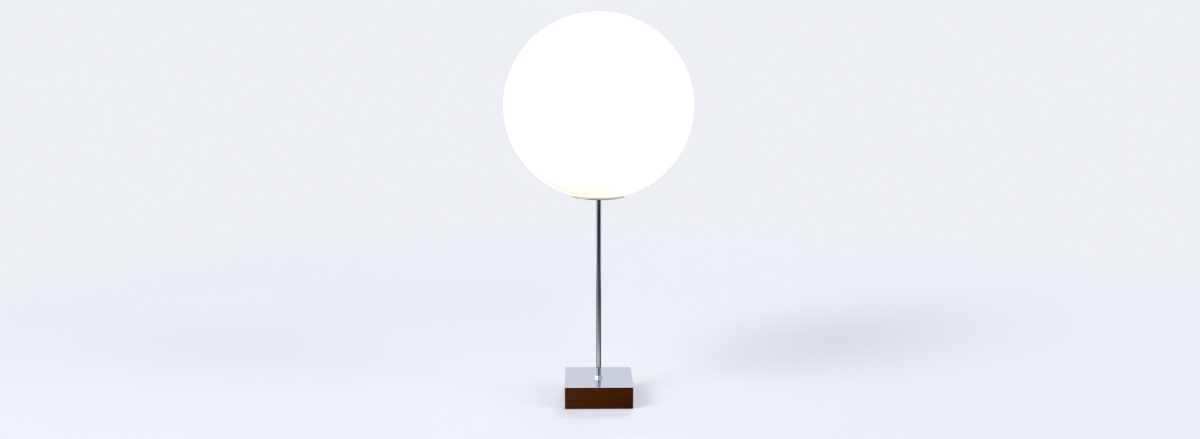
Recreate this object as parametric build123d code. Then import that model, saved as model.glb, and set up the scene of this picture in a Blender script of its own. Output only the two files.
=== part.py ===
"""Glass globe table lamp: an opal glass ball on a thin chromed pole over a square chromed box.

The frame is +Z up, with the origin on the table under the middle of the pole, and -Y towards
the front. All sizes are in millimetres. Each function makes one piece, or one group of like
pieces, at its place in the finished lamp, and the list at the end writes them out.
"""

import math
import os

from build123d import *

# ---- Base: a chromed sheet-steel box over an iron weight -------------------------------------
BASE_SIDE = 130.0  # plan of the square box
BASE_TOP = 43.5  # height of the box's top face above the table
BOX_WALL = 1.6  # sheet thickness
BOX_EDGE = 1.1  # outside radius of the folded edges
BOX_LIFT = 1.2  # height of the box's lower edge above the table

FELT_THICK = 2.0
FELT_INSET = 3.0  # from the box's outer face to the felt's edge
FELT_CORNER = 5.0
FELT_HOLE = 10.0  # lets a screwdriver reach each bottom screw
PLATE_THICK = 1.2  # bottom plate, which lies on the felt
PLATE_GAP = 0.6  # between the plate's edge and the box's wall
PLATE_CORNER = 3.0

BRACKET_SHEET = 1.5
BRACKET_TAB = 16.0  # how far the tab reaches out from the box's wall
BRACKET_WIDE = 14.0
BRACKET_RISE = 11.0  # height of the flange that is welded to the wall
BRACKET_BEND = 2.2  # outside radius of the fold
SCREW_INSET = 11.0  # from the box's outer face to a bottom screw, both ways
SCREW_SHANK = 4.0
SCREW_LENGTH = 7.0
SCREW_HEAD = 7.4
SCREW_HEAD_HIGH = 1.6
SCREW_PLAY = 0.25  # radial play of the screws in the bottom plate
SLOT_WIDE = 1.0  # screwdriver slots

BALLAST_GAP = 4.4  # between the weight and the box's wall
BALLAST_HIGH = 25.0
BALLAST_CORNER = 7.0
BALLAST_DRAFT = 2.0  # degrees, as cast
BALLAST_POCKET = 46.0  # round pocket for the washer and the lower nut
POCKET_DEEP = 9.0
CHANNEL_WIDE = 19.0  # from the pocket to the back, over the cord inlet
WASHER_OD = 34.0
WASHER_THICK = 2.0

# ---- Cord inlet: a snap-in bushing through the back wall --------------------------------------
INLET_Z = 11.0  # height of its axis
INLET_BORE = 7.5
INLET_BODY = 12.4  # diameter where it passes the wall
INLET_FLANGE = 15.6
INLET_FLANGE_THICK = 1.8
INLET_REACH = 6.0  # how far its snap legs go in past the wall
INLET_SLOT = 1.4  # gap between the snap legs
INLET_BARB = 0.6  # how far the legs stand out behind the wall
INLET_ROUND = 0.8  # softened edges of the flange
INLET_FIT = 0.1  # radial play in the box's hole

# ---- Pole: 10 mm lamp tube, with nuts at both ends --------------------------------------------
POLE_OD = 10.0
POLE_BORE = 7.6
POLE_SHOWN = 356.0  # from the box's top to the seat's rim
POLE_FIT = 0.08  # radial play of what slides or screws on to the pole
POLE_CHAMFER = 0.4
POLE_PAST_NUT = 2.0  # pole left below the lower nut
POLE_PAST_HUB = 1.0  # pole left above the lampholder's hub
NUT_FLATS = 15.0  # across flats
NUT_HIGH = 4.2
NUT_CONE = 30.0  # degrees of the chamfer on its corners
FOOT_NUT_TURN = 22.0  # degrees, how each nut came to rest
LOWER_NUT_TURN = 7.0
SEAT_NUT_TURN = 40.0

# ---- Seat: a pressed chromed dish that carries the glass --------------------------------------
SEAT_LEDGE = 6.0  # from the mouth's bore out to the rim's edge
SEAT_RIM = 3.4  # height of the turned-down rim
SEAT_SHEET = 1.2
SEAT_BEND = 1.6  # outside radius of the pressed corners
SEAT_CREASE = 0.5  # radius of the inside corner at the foot of the raised middle
STEP_HIGH = 3.0  # raised middle, which centres the glass
STEP_PLAY = 0.7  # between the raised middle and the glass
HUB_OD = 18.0  # threaded boss brazed on the dish
HUB_HIGH = 8.0
HUB_CHAMFER = 1.0
GASKET_THICK = 0.8
GASKET_INSET = 0.5  # from the rim's edge to the gasket

FINGERS = 3
FINGER_START = -90.0  # degrees, the first finger faces the front
FINGER_WIDE = 12.0
FINGER_SHEET = 0.8
FINGER_ROUND = 3.5  # corners of the tip
FINGER_FOOT = 14.0  # length of the foot that is riveted down
FINGER_RISE = 21.0
FINGER_KNEE = 8.0  # height of the knee, which steadies the glass
FINGER_PLAY = 0.4  # between the knee and the glass
FINGER_FOOT_LEAN = 1.6  # how far the foot's bend lies inside the knee
FINGER_TIP_LEAN = 5.5  # how far the tip lies inside the knee
FINGER_BEND = 1.6
RIVET_SHANK = 3.0
RIVET_HEAD = 5.6
RIVET_DOME = 1.5
RIVET_TAIL = 1.0

# ---- Globe: blown opal glass ------------------------------------------------------------------
GLOBE_WIDE = 355.6  # 14 in across
GLOBE_SQUASH = 0.98  # height over width of the blown ball, before its mouth is cut
GLOBE_WALL = 3.0
MOUTH_RADIUS = 44.0  # bore of the mouth
GROUND_WIDE = 7.5  # width of the face that is ground flat round the mouth
MOUTH_ROUND = 0.4  # how far the ground edges are softened

# ---- Bulb: 60 mm pear bulb with a 26 mm screw cap ---------------------------------------------
CAP_OD = 26.0
CAP_WALL = 0.5
CAP_HIGH = 18.0
CAP_PLAY = 0.3  # from the cap to the screw shell, and from its contact to the tongue
CONTACT_RADIUS = 4.8
CONTACT_HIGH = 1.8
CONTACT_ROUND = 1.2
INSULATOR_HIGH = 5.0
BULB_WIDE = 60.0
BULB_LONG = 110.0  # from the contact to the crown
BULB_WALL = 1.0
NECK_PLAY = 0.2  # cement gap between the neck and the cap
NECK_IN_CAP = 5.0  # how far the neck goes down in the cap
SHOULDER_RADIUS = 42.0  # hollow sweep from the neck to the ball
STEM_RADIUS = 4.2
STEM_WALL = 1.6
STEM_HIGH = 32.0
FLARE_HIGH = 14.0  # cone at the stem's foot, sealed to the neck
PRESS_HIGH = 8.0  # solid glass at the stem's top, pressed on the wires
SUPPORT_WIRE = 0.9
SUPPORT_RISE = 24.0
SUPPORT_ROOTS = 4.0  # between the wires where they leave the stem
SUPPORT_TIPS = 26.0  # between the wires' tips
FILAMENT_COIL = 1.3  # outside of the coiled filament
FILAMENT_SAG = 3.0
FILAMENT_PLAY = 0.4  # from the coil's ends to the wires

# ---- Lampholder: a metal shell over a moulded block and a screw shell --------------------------
SCREW_SHELL_WALL = 0.6
SCREW_SHELL_HIGH = 23.0
SCREW_SHELL_HOLE = 12.0  # lets the centre contact through
LINER_WALL = 0.6
SHELL_WALL = 0.7
SHELL_HIGH = 39.0
SHELL_BEAD = 0.9  # radius of the rolled bead round the shell's mouth
SHELL_LAP = 5.0  # how deep the shell sits in the cup
CUP_SHEET = 0.9
CUP_HIGH = 22.0
CUP_ROUND = 8.6  # outside radius of the cup's bowl
CUP_HUB_OD = 15.0
CUP_HUB_HIGH = 8.0
CUP_HUB_SHOWN = 6.0  # how much of the hub stands below the bowl
NEST_PLAY = 0.2  # radial play between cup, shell, liner and screw shell
SET_SCREW = 3.0
SET_SCREW_LENGTH = 4.4
SET_SLOT_DEEP = 0.8
LINER_UP = 1.0  # from the shell's lower edge to the liner's
BLOCK_UP = 2.0  # from the shell's lower edge to the moulded block
BLOCK_HIGH = 11.5
POCKET_IN = 3.6  # how deep a terminal's pocket goes into the block
POCKET_WIDE = 9.0
POCKET_ABOVE = 4.6  # from the terminal's axis to the pocket's ceiling
TERMINAL_HEAD = 6.4
TERMINAL_HEAD_HIGH = 1.9
TERMINAL_SHANK = 3.2
TERMINAL_LENGTH = 6.0
TONGUE_WIDE = 5.0
TONGUE_SHEET = 0.5
TONGUE_LONG = 9.0
TONGUE_FOOT = 3.5
TONGUE_RISE = 2.4  # above the screw shell's floor
TONGUE_BEND = 1.2

# ---- Wiring: two leads, from connectors in the base to the lampholder --------------------------
LEAD_OD = 2.3
LEAD_OFFSET = 1.9  # from the pole's axis to each lead's
LEAD_FIRST_BEND = 9.0
LEAD_FOOT_BEND = 6.9
LEAD_TOP_BEND = 4.6
LEAD_FAN = 1.5  # above the pole's end, where the leads part
LEAD_FAN_HIGH = 6.0
LEAD_PLAY = 0.2  # from the lead to the pocket's floor
CONNECTOR_X = 26.0
CONNECTOR_Y = 20.0  # its mouth faces the front
CONNECTOR_LONG = 19.0
CONNECTOR_MOUTH = 9.2
CONNECTOR_TIP = 6.4
CONNECTOR_COLLAR = 4.0  # straight part at the mouth
CONNECTOR_BORE = 6.6
CONNECTOR_DEEP = 8.0  # how far the leads go in
CONNECTOR_ROUND = 1.6

# ---- Travel of the loose bodies -----------------------------------------------------------------
BULB_TRAVEL = 30.0  # lift that takes the cap out of the lampholder
GLOBE_TRAVEL = 212.0  # lift that takes the globe over the raised bulb

# ---- Heights and radii that follow from the sizes above ----------------------------------------
BOX_INSIDE = BASE_SIDE - 2 * BOX_WALL
CEILING = BASE_TOP - BOX_WALL  # underside of the box's top
PLATE_TOP = FELT_THICK + PLATE_THICK
SCREW_AT = BASE_SIDE / 2 - SCREW_INSET
BALLAST_SIDE = BOX_INSIDE - 2 * BALLAST_GAP
BALLAST_FLOOR = CEILING - BALLAST_HIGH
POCKET_CEILING = BALLAST_FLOOR + POCKET_DEEP
LOWER_NUT_Z = POCKET_CEILING - WASHER_THICK - NUT_HIGH
POLE_FOOT = LOWER_NUT_Z - POLE_PAST_NUT
POLE_HOLE = POLE_OD / 2 + POLE_FIT

SEAT_RADIUS = MOUTH_RADIUS + SEAT_LEDGE
SEAT_EDGE_Z = BASE_TOP + POLE_SHOWN
SEAT_FLANGE_Z = SEAT_EDGE_Z + SEAT_RIM
STEP_RADIUS = MOUTH_RADIUS - STEP_PLAY
STEP_Z = SEAT_FLANGE_Z + STEP_HIGH
HUB_TOP = STEP_Z + HUB_HIGH
MOUTH_Z = SEAT_FLANGE_Z + GASKET_THICK
KNEE_RADIUS = MOUTH_RADIUS - FINGER_PLAY
FINGER_BACK = KNEE_RADIUS - FINGER_FOOT_LEAN
RIVET_RADIUS = FINGER_BACK - FINGER_FOOT / 2

GROUND_RADIUS = MOUTH_RADIUS + GROUND_WIDE
GLOBE_A = GLOBE_WIDE / 2
GLOBE_B = GLOBE_A * GLOBE_SQUASH
GLOBE_WAIST = GLOBE_B**2 / GLOBE_A  # radius of the arc at the ball's widest place
GLOBE_CROWN = (
    (GLOBE_A + GLOBE_B) ** 2 * (GLOBE_A - GLOBE_B) / (GLOBE_A * GLOBE_B) + GLOBE_B + GLOBE_WAIST
) / 2  # radius of the arcs above and below, which run on smoothly from the waist
CROWN_DROP = GLOBE_CROWN - GLOBE_B  # from the ball's middle to the crown arcs' centres
EQUATOR_Z = MOUTH_Z - CROWN_DROP + math.sqrt(GLOBE_CROWN**2 - GROUND_RADIUS**2)

SCREW_SHELL_R = CAP_OD / 2 + CAP_PLAY + SCREW_SHELL_WALL
LINER_R = SCREW_SHELL_R + NEST_PLAY + LINER_WALL
SHELL_R = LINER_R + NEST_PLAY + SHELL_WALL
CUP_R = SHELL_R + NEST_PLAY + CUP_SHEET
CUP_Z = HUB_TOP + NUT_HIGH  # the cup's hub stands on the seat's lock nut
CUP_TOP = CUP_Z + CUP_HIGH
POLE_TOP = CUP_Z + CUP_HUB_HIGH + POLE_PAST_HUB
SHELL_Z = CUP_TOP - SHELL_LAP
SHELL_TOP = SHELL_Z + SHELL_HIGH
BLOCK_Z = SHELL_Z + BLOCK_UP
BLOCK_TOP = BLOCK_Z + BLOCK_HIGH
TERMINAL_Z = BLOCK_Z + BLOCK_HIGH / 2
POCKET_FLOOR = SCREW_SHELL_R - POCKET_IN
TONGUE_TOP = BLOCK_TOP + SCREW_SHELL_WALL + TONGUE_RISE

CONTACT_Z = TONGUE_TOP + CAP_PLAY
INSULATOR_Z = CONTACT_Z + CONTACT_HIGH
CAP_Z = INSULATOR_Z + INSULATOR_HIGH
CAP_TOP = CAP_Z + CAP_HIGH
NECK_RADIUS = CAP_OD / 2 - CAP_WALL - NECK_PLAY
NECK_Z = CAP_TOP - NECK_IN_CAP
BALL_RADIUS = BULB_WIDE / 2
BALL_Z = CONTACT_Z + BULB_LONG - BALL_RADIUS
STEM_TOP = NECK_Z + STEM_HIGH
SUPPORT_TOP = STEM_TOP + SUPPORT_RISE

CONNECTOR_Z = PLATE_TOP + CONNECTOR_MOUTH / 2
TERMINAL_LEAD_X = POCKET_FLOOR + LEAD_PLAY + LEAD_OD / 2


# ---- Helpers -----------------------------------------------------------------------------------
def tube(radius, bore, height, z):
    """A ring round the pole's axis, standing at height z."""
    return Pos(0, 0, z + height / 2) * (Cylinder(radius, height) - Cylinder(bore, height))


def turned(*points):
    """A straight-sided section, as points of radius and height, turned round the pole's axis."""
    return revolve(Plane.XZ * make_face(Polyline(*points, close=True)), Axis.Z, 360)


def pressed(points, sheet, bends):
    """The upright section of a sheet that is bent along a path, on the path's right-hand side."""
    with BuildSketch(Plane.XZ) as section:
        with BuildLine():
            path = FilletPolyline(*points, radius=bends)
            offset(path, amount=sheet, kind=Kind.ARC, side=Side.RIGHT)
        make_face()
    return section.sketch


def slab(side, height, corner, z):
    """A square plate with round corners, standing at height z."""
    return Pos(0, 0, z) * extrude(RectangleRounded(side, side, corner), height)


def in_corners(piece):
    """A piece drawn in the +X +Y corner, and its mirror images in the other three."""
    pair = [piece, mirror(piece, Plane.XZ)]
    return Compound(children=pair + [mirror(other, Plane.YZ) for other in pair])


def on_both_sides(piece):
    """A piece drawn on the +X side, and its mirror image on the other."""
    return Compound(children=[piece, mirror(piece, Plane.YZ)])


def hex_nut(z, turn):
    """A hexagon nut on the pole, with both ends coned off as they are turned from bar."""
    corner = NUT_FLATS / math.sqrt(3)
    drop = (corner - NUT_FLATS / 2) * math.tan(math.radians(NUT_CONE))
    blank = turned(
        (POLE_HOLE, 0),
        (NUT_FLATS / 2, 0),
        (corner, drop),
        (corner, NUT_HIGH - drop),
        (NUT_FLATS / 2, NUT_HIGH),
        (POLE_HOLE, NUT_HIGH),
    )
    return Pos(0, 0, z) * Rot(0, 0, turn) * (blank & extrude(RegularPolygon(corner, 6), NUT_HIGH))


def slotted_screw(head, head_high, shank, length):
    """A pan-head screw, upright, with the underside of its head at z = 0."""
    pan = Pos(0, 0, head_high / 2) * Cylinder(head / 2, head_high)
    pan = fillet(pan.edges().group_by(Axis.Z)[-1], head_high / 2)
    slot = Pos(0, 0, head_high) * Box(head, SLOT_WIDE, head_high)
    return pan - slot + Pos(0, 0, -length / 2) * Cylinder(shank / 2, length)


def corner_holes(diameter):
    """Upright drills through the four bottom screws' places."""
    return in_corners(Pos(SCREW_AT, SCREW_AT, 0) * Cylinder(diameter / 2, BASE_TOP))


# ---- Base --------------------------------------------------------------------------------------
def base_box():
    """Folded and welded box, open below, with holes for the pole and the cord inlet."""
    height = BASE_TOP - BOX_LIFT
    block = Pos(0, 0, BOX_LIFT) * extrude(Rectangle(BASE_SIDE, BASE_SIDE), height)
    folds = block.edges().filter_by(Axis.Z) + block.edges().group_by(Axis.Z)[-1]
    block = fillet(folds, BOX_EDGE)
    hollow = Pos(0, 0, BOX_LIFT) * extrude(Rectangle(BOX_INSIDE, BOX_INSIDE), height - BOX_WALL)
    pole_hole = Pos(0, 0, CEILING) * Cylinder(POLE_HOLE, BASE_TOP)
    inlet_hole = Pos(0, BASE_SIDE / 2, INLET_Z) * Rot(90, 0, 0) * Cylinder(
        INLET_BODY / 2 + INLET_FIT, 4 * BOX_WALL
    )
    return block - hollow - pole_hole - inlet_hole


def corner_brackets():
    """Four angles welded inside the box's corners, tapped for the bottom screws."""
    wall = BOX_INSIDE / 2
    path = [(wall, PLATE_TOP + BRACKET_RISE), (wall, PLATE_TOP), (wall - BRACKET_TAB, PLATE_TOP)]
    angle = extrude(pressed(path, BRACKET_SHEET, [BRACKET_BEND]), BRACKET_WIDE / 2, both=True)
    tapped = Pos(SCREW_AT, SCREW_AT, 0) * Cylinder(SCREW_SHANK / 2, BASE_TOP)
    return in_corners(Pos(0, SCREW_AT, 0) * angle - tapped)


def ballast():
    """Cast-iron weight, with a pocket for the nut and a channel over the cord inlet."""
    outline = RectangleRounded(BALLAST_SIDE, BALLAST_SIDE, BALLAST_CORNER)
    cast = extrude(outline, BALLAST_HIGH, taper=BALLAST_DRAFT)
    cast = Pos(0, 0, CEILING) * Rot(180, 0, 0) * cast
    pocket = Pos(0, 0, BALLAST_FLOOR) * Cylinder(BALLAST_POCKET / 2, 2 * POCKET_DEEP)
    channel = Pos(0, BALLAST_SIDE / 2, BALLAST_FLOOR) * Box(
        CHANNEL_WIDE, BALLAST_SIDE, 2 * POCKET_DEEP
    )
    return cast - pocket - channel - Pos(0, 0, CEILING) * Cylinder(POLE_HOLE, 3 * BALLAST_HIGH)


def ballast_washer():
    """Plain washer that spreads the lower nut's pull over the weight."""
    return tube(WASHER_OD / 2, POLE_HOLE, WASHER_THICK, POCKET_CEILING - WASHER_THICK)


def bottom_plate():
    """Sheet-steel plate that closes the box."""
    plate = slab(BOX_INSIDE - 2 * PLATE_GAP, PLATE_THICK, PLATE_CORNER, FELT_THICK)
    return plate - corner_holes(SCREW_SHANK + 2 * SCREW_PLAY)


def bottom_screws():
    """Four screws, up through the plate into the brackets."""
    screw = slotted_screw(SCREW_HEAD, SCREW_HEAD_HIGH, SCREW_SHANK, SCREW_LENGTH)
    return in_corners(Pos(SCREW_AT, SCREW_AT, FELT_THICK) * Rot(180, 0, 0) * screw)


def felt_pad():
    """Felt glued under the plate, which the lamp stands on."""
    felt = slab(BASE_SIDE - 2 * FELT_INSET, FELT_THICK, FELT_CORNER, 0)
    return felt - corner_holes(FELT_HOLE)


def cord_bushing():
    """Snap-in bushing with four legs, pushed through the back wall from outside."""
    bore = INLET_BORE / 2
    body = INLET_BODY / 2
    end = -BOX_WALL - INLET_REACH
    ring = turned(
        (bore, end),
        (body - INLET_BARB, end),
        (body + INLET_BARB, -BOX_WALL - INLET_FIT),
        (body, -BOX_WALL - INLET_FIT),
        (body, 0),
        (INLET_FLANGE / 2, 0),
        (INLET_FLANGE / 2, INLET_FLANGE_THICK),
        (bore, INLET_FLANGE_THICK),
    )
    ring = fillet(ring.edges().group_by(Axis.Z)[-1], INLET_ROUND)
    slots = Box(INLET_FLANGE, INLET_SLOT, INLET_REACH) + Box(INLET_SLOT, INLET_FLANGE, INLET_REACH)
    ring = ring - Pos(0, 0, end + INLET_REACH / 2 - INLET_BARB) * slots
    return Pos(0, BASE_SIDE / 2, INLET_Z) * Rot(-90, 0, 0) * ring


# ---- Pole --------------------------------------------------------------------------------------
def pole():
    """Thin-walled tube that clamps the weight below and carries the lampholder above."""
    outside = POLE_OD / 2
    bore = POLE_BORE / 2
    return turned(
        (bore, POLE_FOOT),
        (outside - POLE_CHAMFER, POLE_FOOT),
        (outside, POLE_FOOT + POLE_CHAMFER),
        (outside, POLE_TOP - POLE_CHAMFER),
        (outside - POLE_CHAMFER, POLE_TOP),
        (bore, POLE_TOP),
    )


# ---- Seat --------------------------------------------------------------------------------------
def globe_seat():
    """Pressed dish with a raised middle, which the glass drops over."""
    path = [
        (POLE_HOLE, STEP_Z),
        (STEP_RADIUS, STEP_Z),
        (STEP_RADIUS, SEAT_FLANGE_Z),
        (SEAT_RADIUS, SEAT_FLANGE_Z),
        (SEAT_RADIUS, SEAT_EDGE_Z),
    ]
    section = pressed(path, SEAT_SHEET, [SEAT_BEND, SEAT_CREASE, SEAT_BEND])
    return revolve(section, Axis.Z, 360) - round_the_seat(rivet_drill())


def seat_hub():
    """Threaded boss, brazed on top of the dish."""
    outside = HUB_OD / 2
    return turned(
        (POLE_HOLE, STEP_Z),
        (outside, STEP_Z),
        (outside, HUB_TOP - HUB_CHAMFER),
        (outside - HUB_CHAMFER, HUB_TOP),
        (POLE_HOLE, HUB_TOP),
    )


def globe_gasket():
    """Flat ring that cushions the ground glass."""
    inside = MOUTH_RADIUS + SEAT_CREASE
    return tube(SEAT_RADIUS - GASKET_INSET, inside, GASKET_THICK, SEAT_FLANGE_Z)


def round_the_seat(piece):
    """Equal turns of a piece that is drawn along +X, one for each finger."""
    turns = [FINGER_START + 360 / FINGERS * k for k in range(FINGERS)]
    return Compound(children=[Rot(0, 0, turn) * piece for turn in turns])


def rivet_drill():
    """Hole for a finger's rivet, along +X."""
    return Pos(RIVET_RADIUS, 0, STEP_Z) * Cylinder(RIVET_SHANK / 2, 4 * STEP_HIGH)


def globe_fingers():
    """Bent spring fingers that steady the globe's mouth from inside."""
    path = [
        (KNEE_RADIUS - FINGER_TIP_LEAN, STEP_Z + FINGER_RISE),
        (KNEE_RADIUS, STEP_Z + FINGER_KNEE),
        (FINGER_BACK, STEP_Z),
        (FINGER_BACK - FINGER_FOOT, STEP_Z),
    ]
    strip = extrude(pressed(path, FINGER_SHEET, [FINGER_BEND] * 2), FINGER_WIDE / 2, both=True)
    tall = 2 * FINGER_RISE
    outline = Plane.YZ * Pos(0, STEP_Z + FINGER_RISE - tall / 2) * RectangleRounded(
        FINGER_WIDE, tall, FINGER_ROUND
    )
    return round_the_seat(strip & extrude(outline, SEAT_RADIUS)) - round_the_seat(rivet_drill())


def finger_rivets():
    """Domed rivets that hold the fingers to the dish."""
    face = FINGER_SHEET
    back = -SEAT_SHEET
    dome = Pos(0, 0, face) * extrude(Circle(RIVET_HEAD / 2), RIVET_DOME)
    dome = fillet(dome.edges().group_by(Axis.Z)[-1], RIVET_DOME * 0.9)
    shank = Pos(0, 0, back) * extrude(Circle(RIVET_SHANK / 2), face - back)
    tail = Pos(0, 0, back - RIVET_TAIL) * extrude(Circle(RIVET_HEAD / 2), RIVET_TAIL)
    return round_the_seat(Pos(RIVET_RADIUS, 0, STEP_Z) * (dome + shank + tail))


# ---- Globe -------------------------------------------------------------------------------------
def globe_outline(radius, wall):
    """The ball's half section, drawn in by a wall: foot, waist and crown arcs, up from a radius."""
    crown = GLOBE_CROWN - wall
    start = math.degrees(math.asin(radius / crown))
    lean = math.degrees(math.atan2(CROWN_DROP, GLOBE_A - GLOBE_WAIST))
    waist = (GLOBE_A - GLOBE_WAIST, EQUATOR_Z)
    return [
        CenterArc((0, EQUATOR_Z + CROWN_DROP), crown, start - 90, 90 - start - lean),
        CenterArc(waist, GLOBE_WAIST - wall, -lean, 2 * lean),
        CenterArc((0, EQUATOR_Z - CROWN_DROP), crown, lean, 90 - lean),
    ]


def globe():
    """Blown ball, a little flattened, with its mouth bored and ground flat."""
    outside = globe_outline(GROUND_RADIUS, 0)
    inside = globe_outline(MOUTH_RADIUS, GLOBE_WALL)
    edge = (MOUTH_RADIUS, MOUTH_Z)
    joins = [
        Line(outside[-1] @ 1, inside[-1] @ 1),
        Line(inside[0] @ 0, edge),
        Line(edge, outside[0] @ 0),
    ]
    section = make_face(outside + inside + joins)
    section = fillet(section.vertices().group_by(Axis.Y)[0], MOUTH_ROUND)
    return revolve(Plane.XZ * section, Axis.Z, 360)


# ---- Lampholder --------------------------------------------------------------------------------
def socket_cup():
    """Spun cup, with the hub that screws on to the pole's end."""
    bowl_z = CUP_Z + CUP_HUB_SHOWN
    path = [(CUP_R, CUP_TOP), (CUP_R, bowl_z), (CUP_HUB_OD / 2 - CUP_SHEET, bowl_z)]
    bowl = revolve(pressed(path, CUP_SHEET, [CUP_ROUND]), Axis.Z, 360)
    hub = tube(CUP_HUB_OD / 2, POLE_HOLE, CUP_HUB_HIGH, CUP_Z)
    return bowl + hub - set_screw_blank()


def set_screw_blank():
    """The set screw's plain body, from the pole out through the hub, towards the back."""
    middle = POLE_HOLE + SET_SCREW_LENGTH / 2
    height = CUP_Z + CUP_HUB_SHOWN / 2
    return Pos(0, middle, height) * Rot(90, 0, 0) * Cylinder(SET_SCREW / 2, SET_SCREW_LENGTH)


def socket_set_screw():
    """Slotted grub screw that keeps the cup from turning."""
    end = POLE_HOLE + SET_SCREW_LENGTH
    slot = Pos(0, end, CUP_Z + CUP_HUB_SHOWN / 2) * Box(SET_SCREW, 2 * SET_SLOT_DEEP, SLOT_WIDE / 2)
    return set_screw_blank() - slot


def socket_shell():
    """Drawn shell with a bead rolled outwards round its mouth."""
    wall = tube(SHELL_R, SHELL_R - SHELL_WALL, SHELL_HIGH - SHELL_BEAD, SHELL_Z)
    bead = Torus(SHELL_R - SHELL_WALL + SHELL_BEAD, SHELL_BEAD)
    return wall + Pos(0, 0, SHELL_TOP - SHELL_BEAD) * bead


def socket_liner():
    """Pressed-fibre sleeve that keeps the shell off the live parts."""
    height = SHELL_HIGH - LINER_UP - 2 * SHELL_BEAD
    return tube(LINER_R, LINER_R - LINER_WALL, height, SHELL_Z + LINER_UP)


def terminal_screw(turn):
    """A terminal screw that points out from its pocket's floor, at a turn about the pole."""
    screw = slotted_screw(TERMINAL_HEAD, TERMINAL_HEAD_HIGH, TERMINAL_SHANK, TERMINAL_LENGTH)
    return Rot(0, 0, turn) * Pos(POCKET_FLOOR, 0, TERMINAL_Z) * Rot(0, 90, 0) * screw


def socket_block():
    """Moulded block that carries the terminals and the contacts."""
    block = Pos(0, 0, BLOCK_Z + BLOCK_HIGH / 2) * Cylinder(SCREW_SHELL_R, BLOCK_HIGH)
    tall = TERMINAL_Z + POCKET_ABOVE - BLOCK_Z
    pocket = Pos(POCKET_FLOOR + POCKET_IN, 0, BLOCK_Z + tall / 2) * Box(
        2 * POCKET_IN, POCKET_WIDE, tall
    )
    thread = Pos(POCKET_FLOOR, 0, TERMINAL_Z) * Rot(0, 90, 0) * Cylinder(
        TERMINAL_SHANK / 2, 2 * TERMINAL_LENGTH
    )
    return block - on_both_sides(pocket + thread)


def screw_shell():
    """Thin shell that takes the bulb's cap; its floor is riveted to the block."""
    inside = SCREW_SHELL_R - SCREW_SHELL_WALL
    floor = BLOCK_TOP + SCREW_SHELL_WALL
    top = BLOCK_TOP + SCREW_SHELL_HIGH
    return turned(
        (SCREW_SHELL_HOLE / 2, BLOCK_TOP),
        (SCREW_SHELL_R, BLOCK_TOP),
        (SCREW_SHELL_R, top),
        (inside, top),
        (inside, floor),
        (SCREW_SHELL_HOLE / 2, floor),
    )


def centre_contact():
    """Bent tongue that presses up on the bulb's contact."""
    left = -TONGUE_LONG / 2
    foot_z = BLOCK_TOP + TONGUE_SHEET
    path = [(left, foot_z), (left + TONGUE_FOOT, foot_z), (0, TONGUE_TOP), (-left, TONGUE_TOP)]
    return extrude(pressed(path, TONGUE_SHEET, [TONGUE_BEND] * 2), TONGUE_WIDE / 2, both=True)


# ---- Bulb --------------------------------------------------------------------------------------
def bulb_form(inset):
    """The pear shape as a solid, drawn in all round by an inset."""
    neck = NECK_RADIUS - inset
    shoulder_x = NECK_RADIUS + SHOULDER_RADIUS
    shoulder_drop = math.sqrt((BALL_RADIUS + SHOULDER_RADIUS) ** 2 - shoulder_x**2)
    shoulder_z = BALL_Z - shoulder_drop
    below = math.degrees(math.atan2(shoulder_drop, shoulder_x))
    ball = BALL_RADIUS - inset
    outline = [
        Line((0, NECK_Z), (neck, NECK_Z)),
        Line((neck, NECK_Z), (neck, shoulder_z)),
        CenterArc((shoulder_x, shoulder_z), SHOULDER_RADIUS + inset, 180 - below, below),
        CenterArc((0, BALL_Z), ball, -below, 90 + below),
        Line((0, BALL_Z + ball), (0, NECK_Z)),
    ]
    return revolve(Plane.XZ * make_face(outline), Axis.Z, 360)


def bulb_glass():
    """Blown envelope, frosted inside."""
    return bulb_form(0) - bulb_form(BULB_WALL)


def bulb_cap():
    """Thin screw cap, open above for the neck."""
    inside = CAP_OD / 2 - CAP_WALL
    return turned(
        (inside - CAP_WALL, CAP_Z),
        (CAP_OD / 2 - CAP_WALL, CAP_Z),
        (CAP_OD / 2, CAP_Z + CAP_WALL),
        (CAP_OD / 2, CAP_TOP),
        (inside, CAP_TOP),
        (inside, CAP_Z + CAP_WALL),
        (inside - CAP_WALL, CAP_Z + CAP_WALL),
    )


def bulb_insulator():
    """Glass cone between the cap and its contact."""
    rim = CAP_OD / 2 - 2 * CAP_WALL
    return turned(
        (0, INSULATOR_Z),
        (CONTACT_RADIUS, INSULATOR_Z),
        (rim, CAP_Z),
        (rim, CAP_Z + CAP_WALL),
        (0, CAP_Z + CAP_WALL),
    )


def bulb_contact():
    """Soldered contact at the cap's foot."""
    button = Pos(0, 0, CONTACT_Z) * extrude(Circle(CONTACT_RADIUS), CONTACT_HIGH)
    return fillet(button.edges().group_by(Axis.Z)[0], CONTACT_ROUND)


def bulb_stem():
    """Glass stem, flared to meet the neck and pressed shut on the wires at its top."""
    flare = NECK_RADIUS - BULB_WALL
    bore = STEM_RADIUS - STEM_WALL
    return turned(
        (flare - STEM_WALL, NECK_Z),
        (flare, NECK_Z),
        (STEM_RADIUS, NECK_Z + FLARE_HIGH),
        (STEM_RADIUS, STEM_TOP),
        (0, STEM_TOP),
        (0, STEM_TOP - PRESS_HIGH),
        (bore, STEM_TOP - PRESS_HIGH),
        (bore, NECK_Z + FLARE_HIGH - STEM_WALL),
    )


def along(path, radius):
    """A round wire along a path."""
    return sweep(Plane(origin=path @ 0, z_dir=path % 0) * Circle(radius), path=path)


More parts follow.
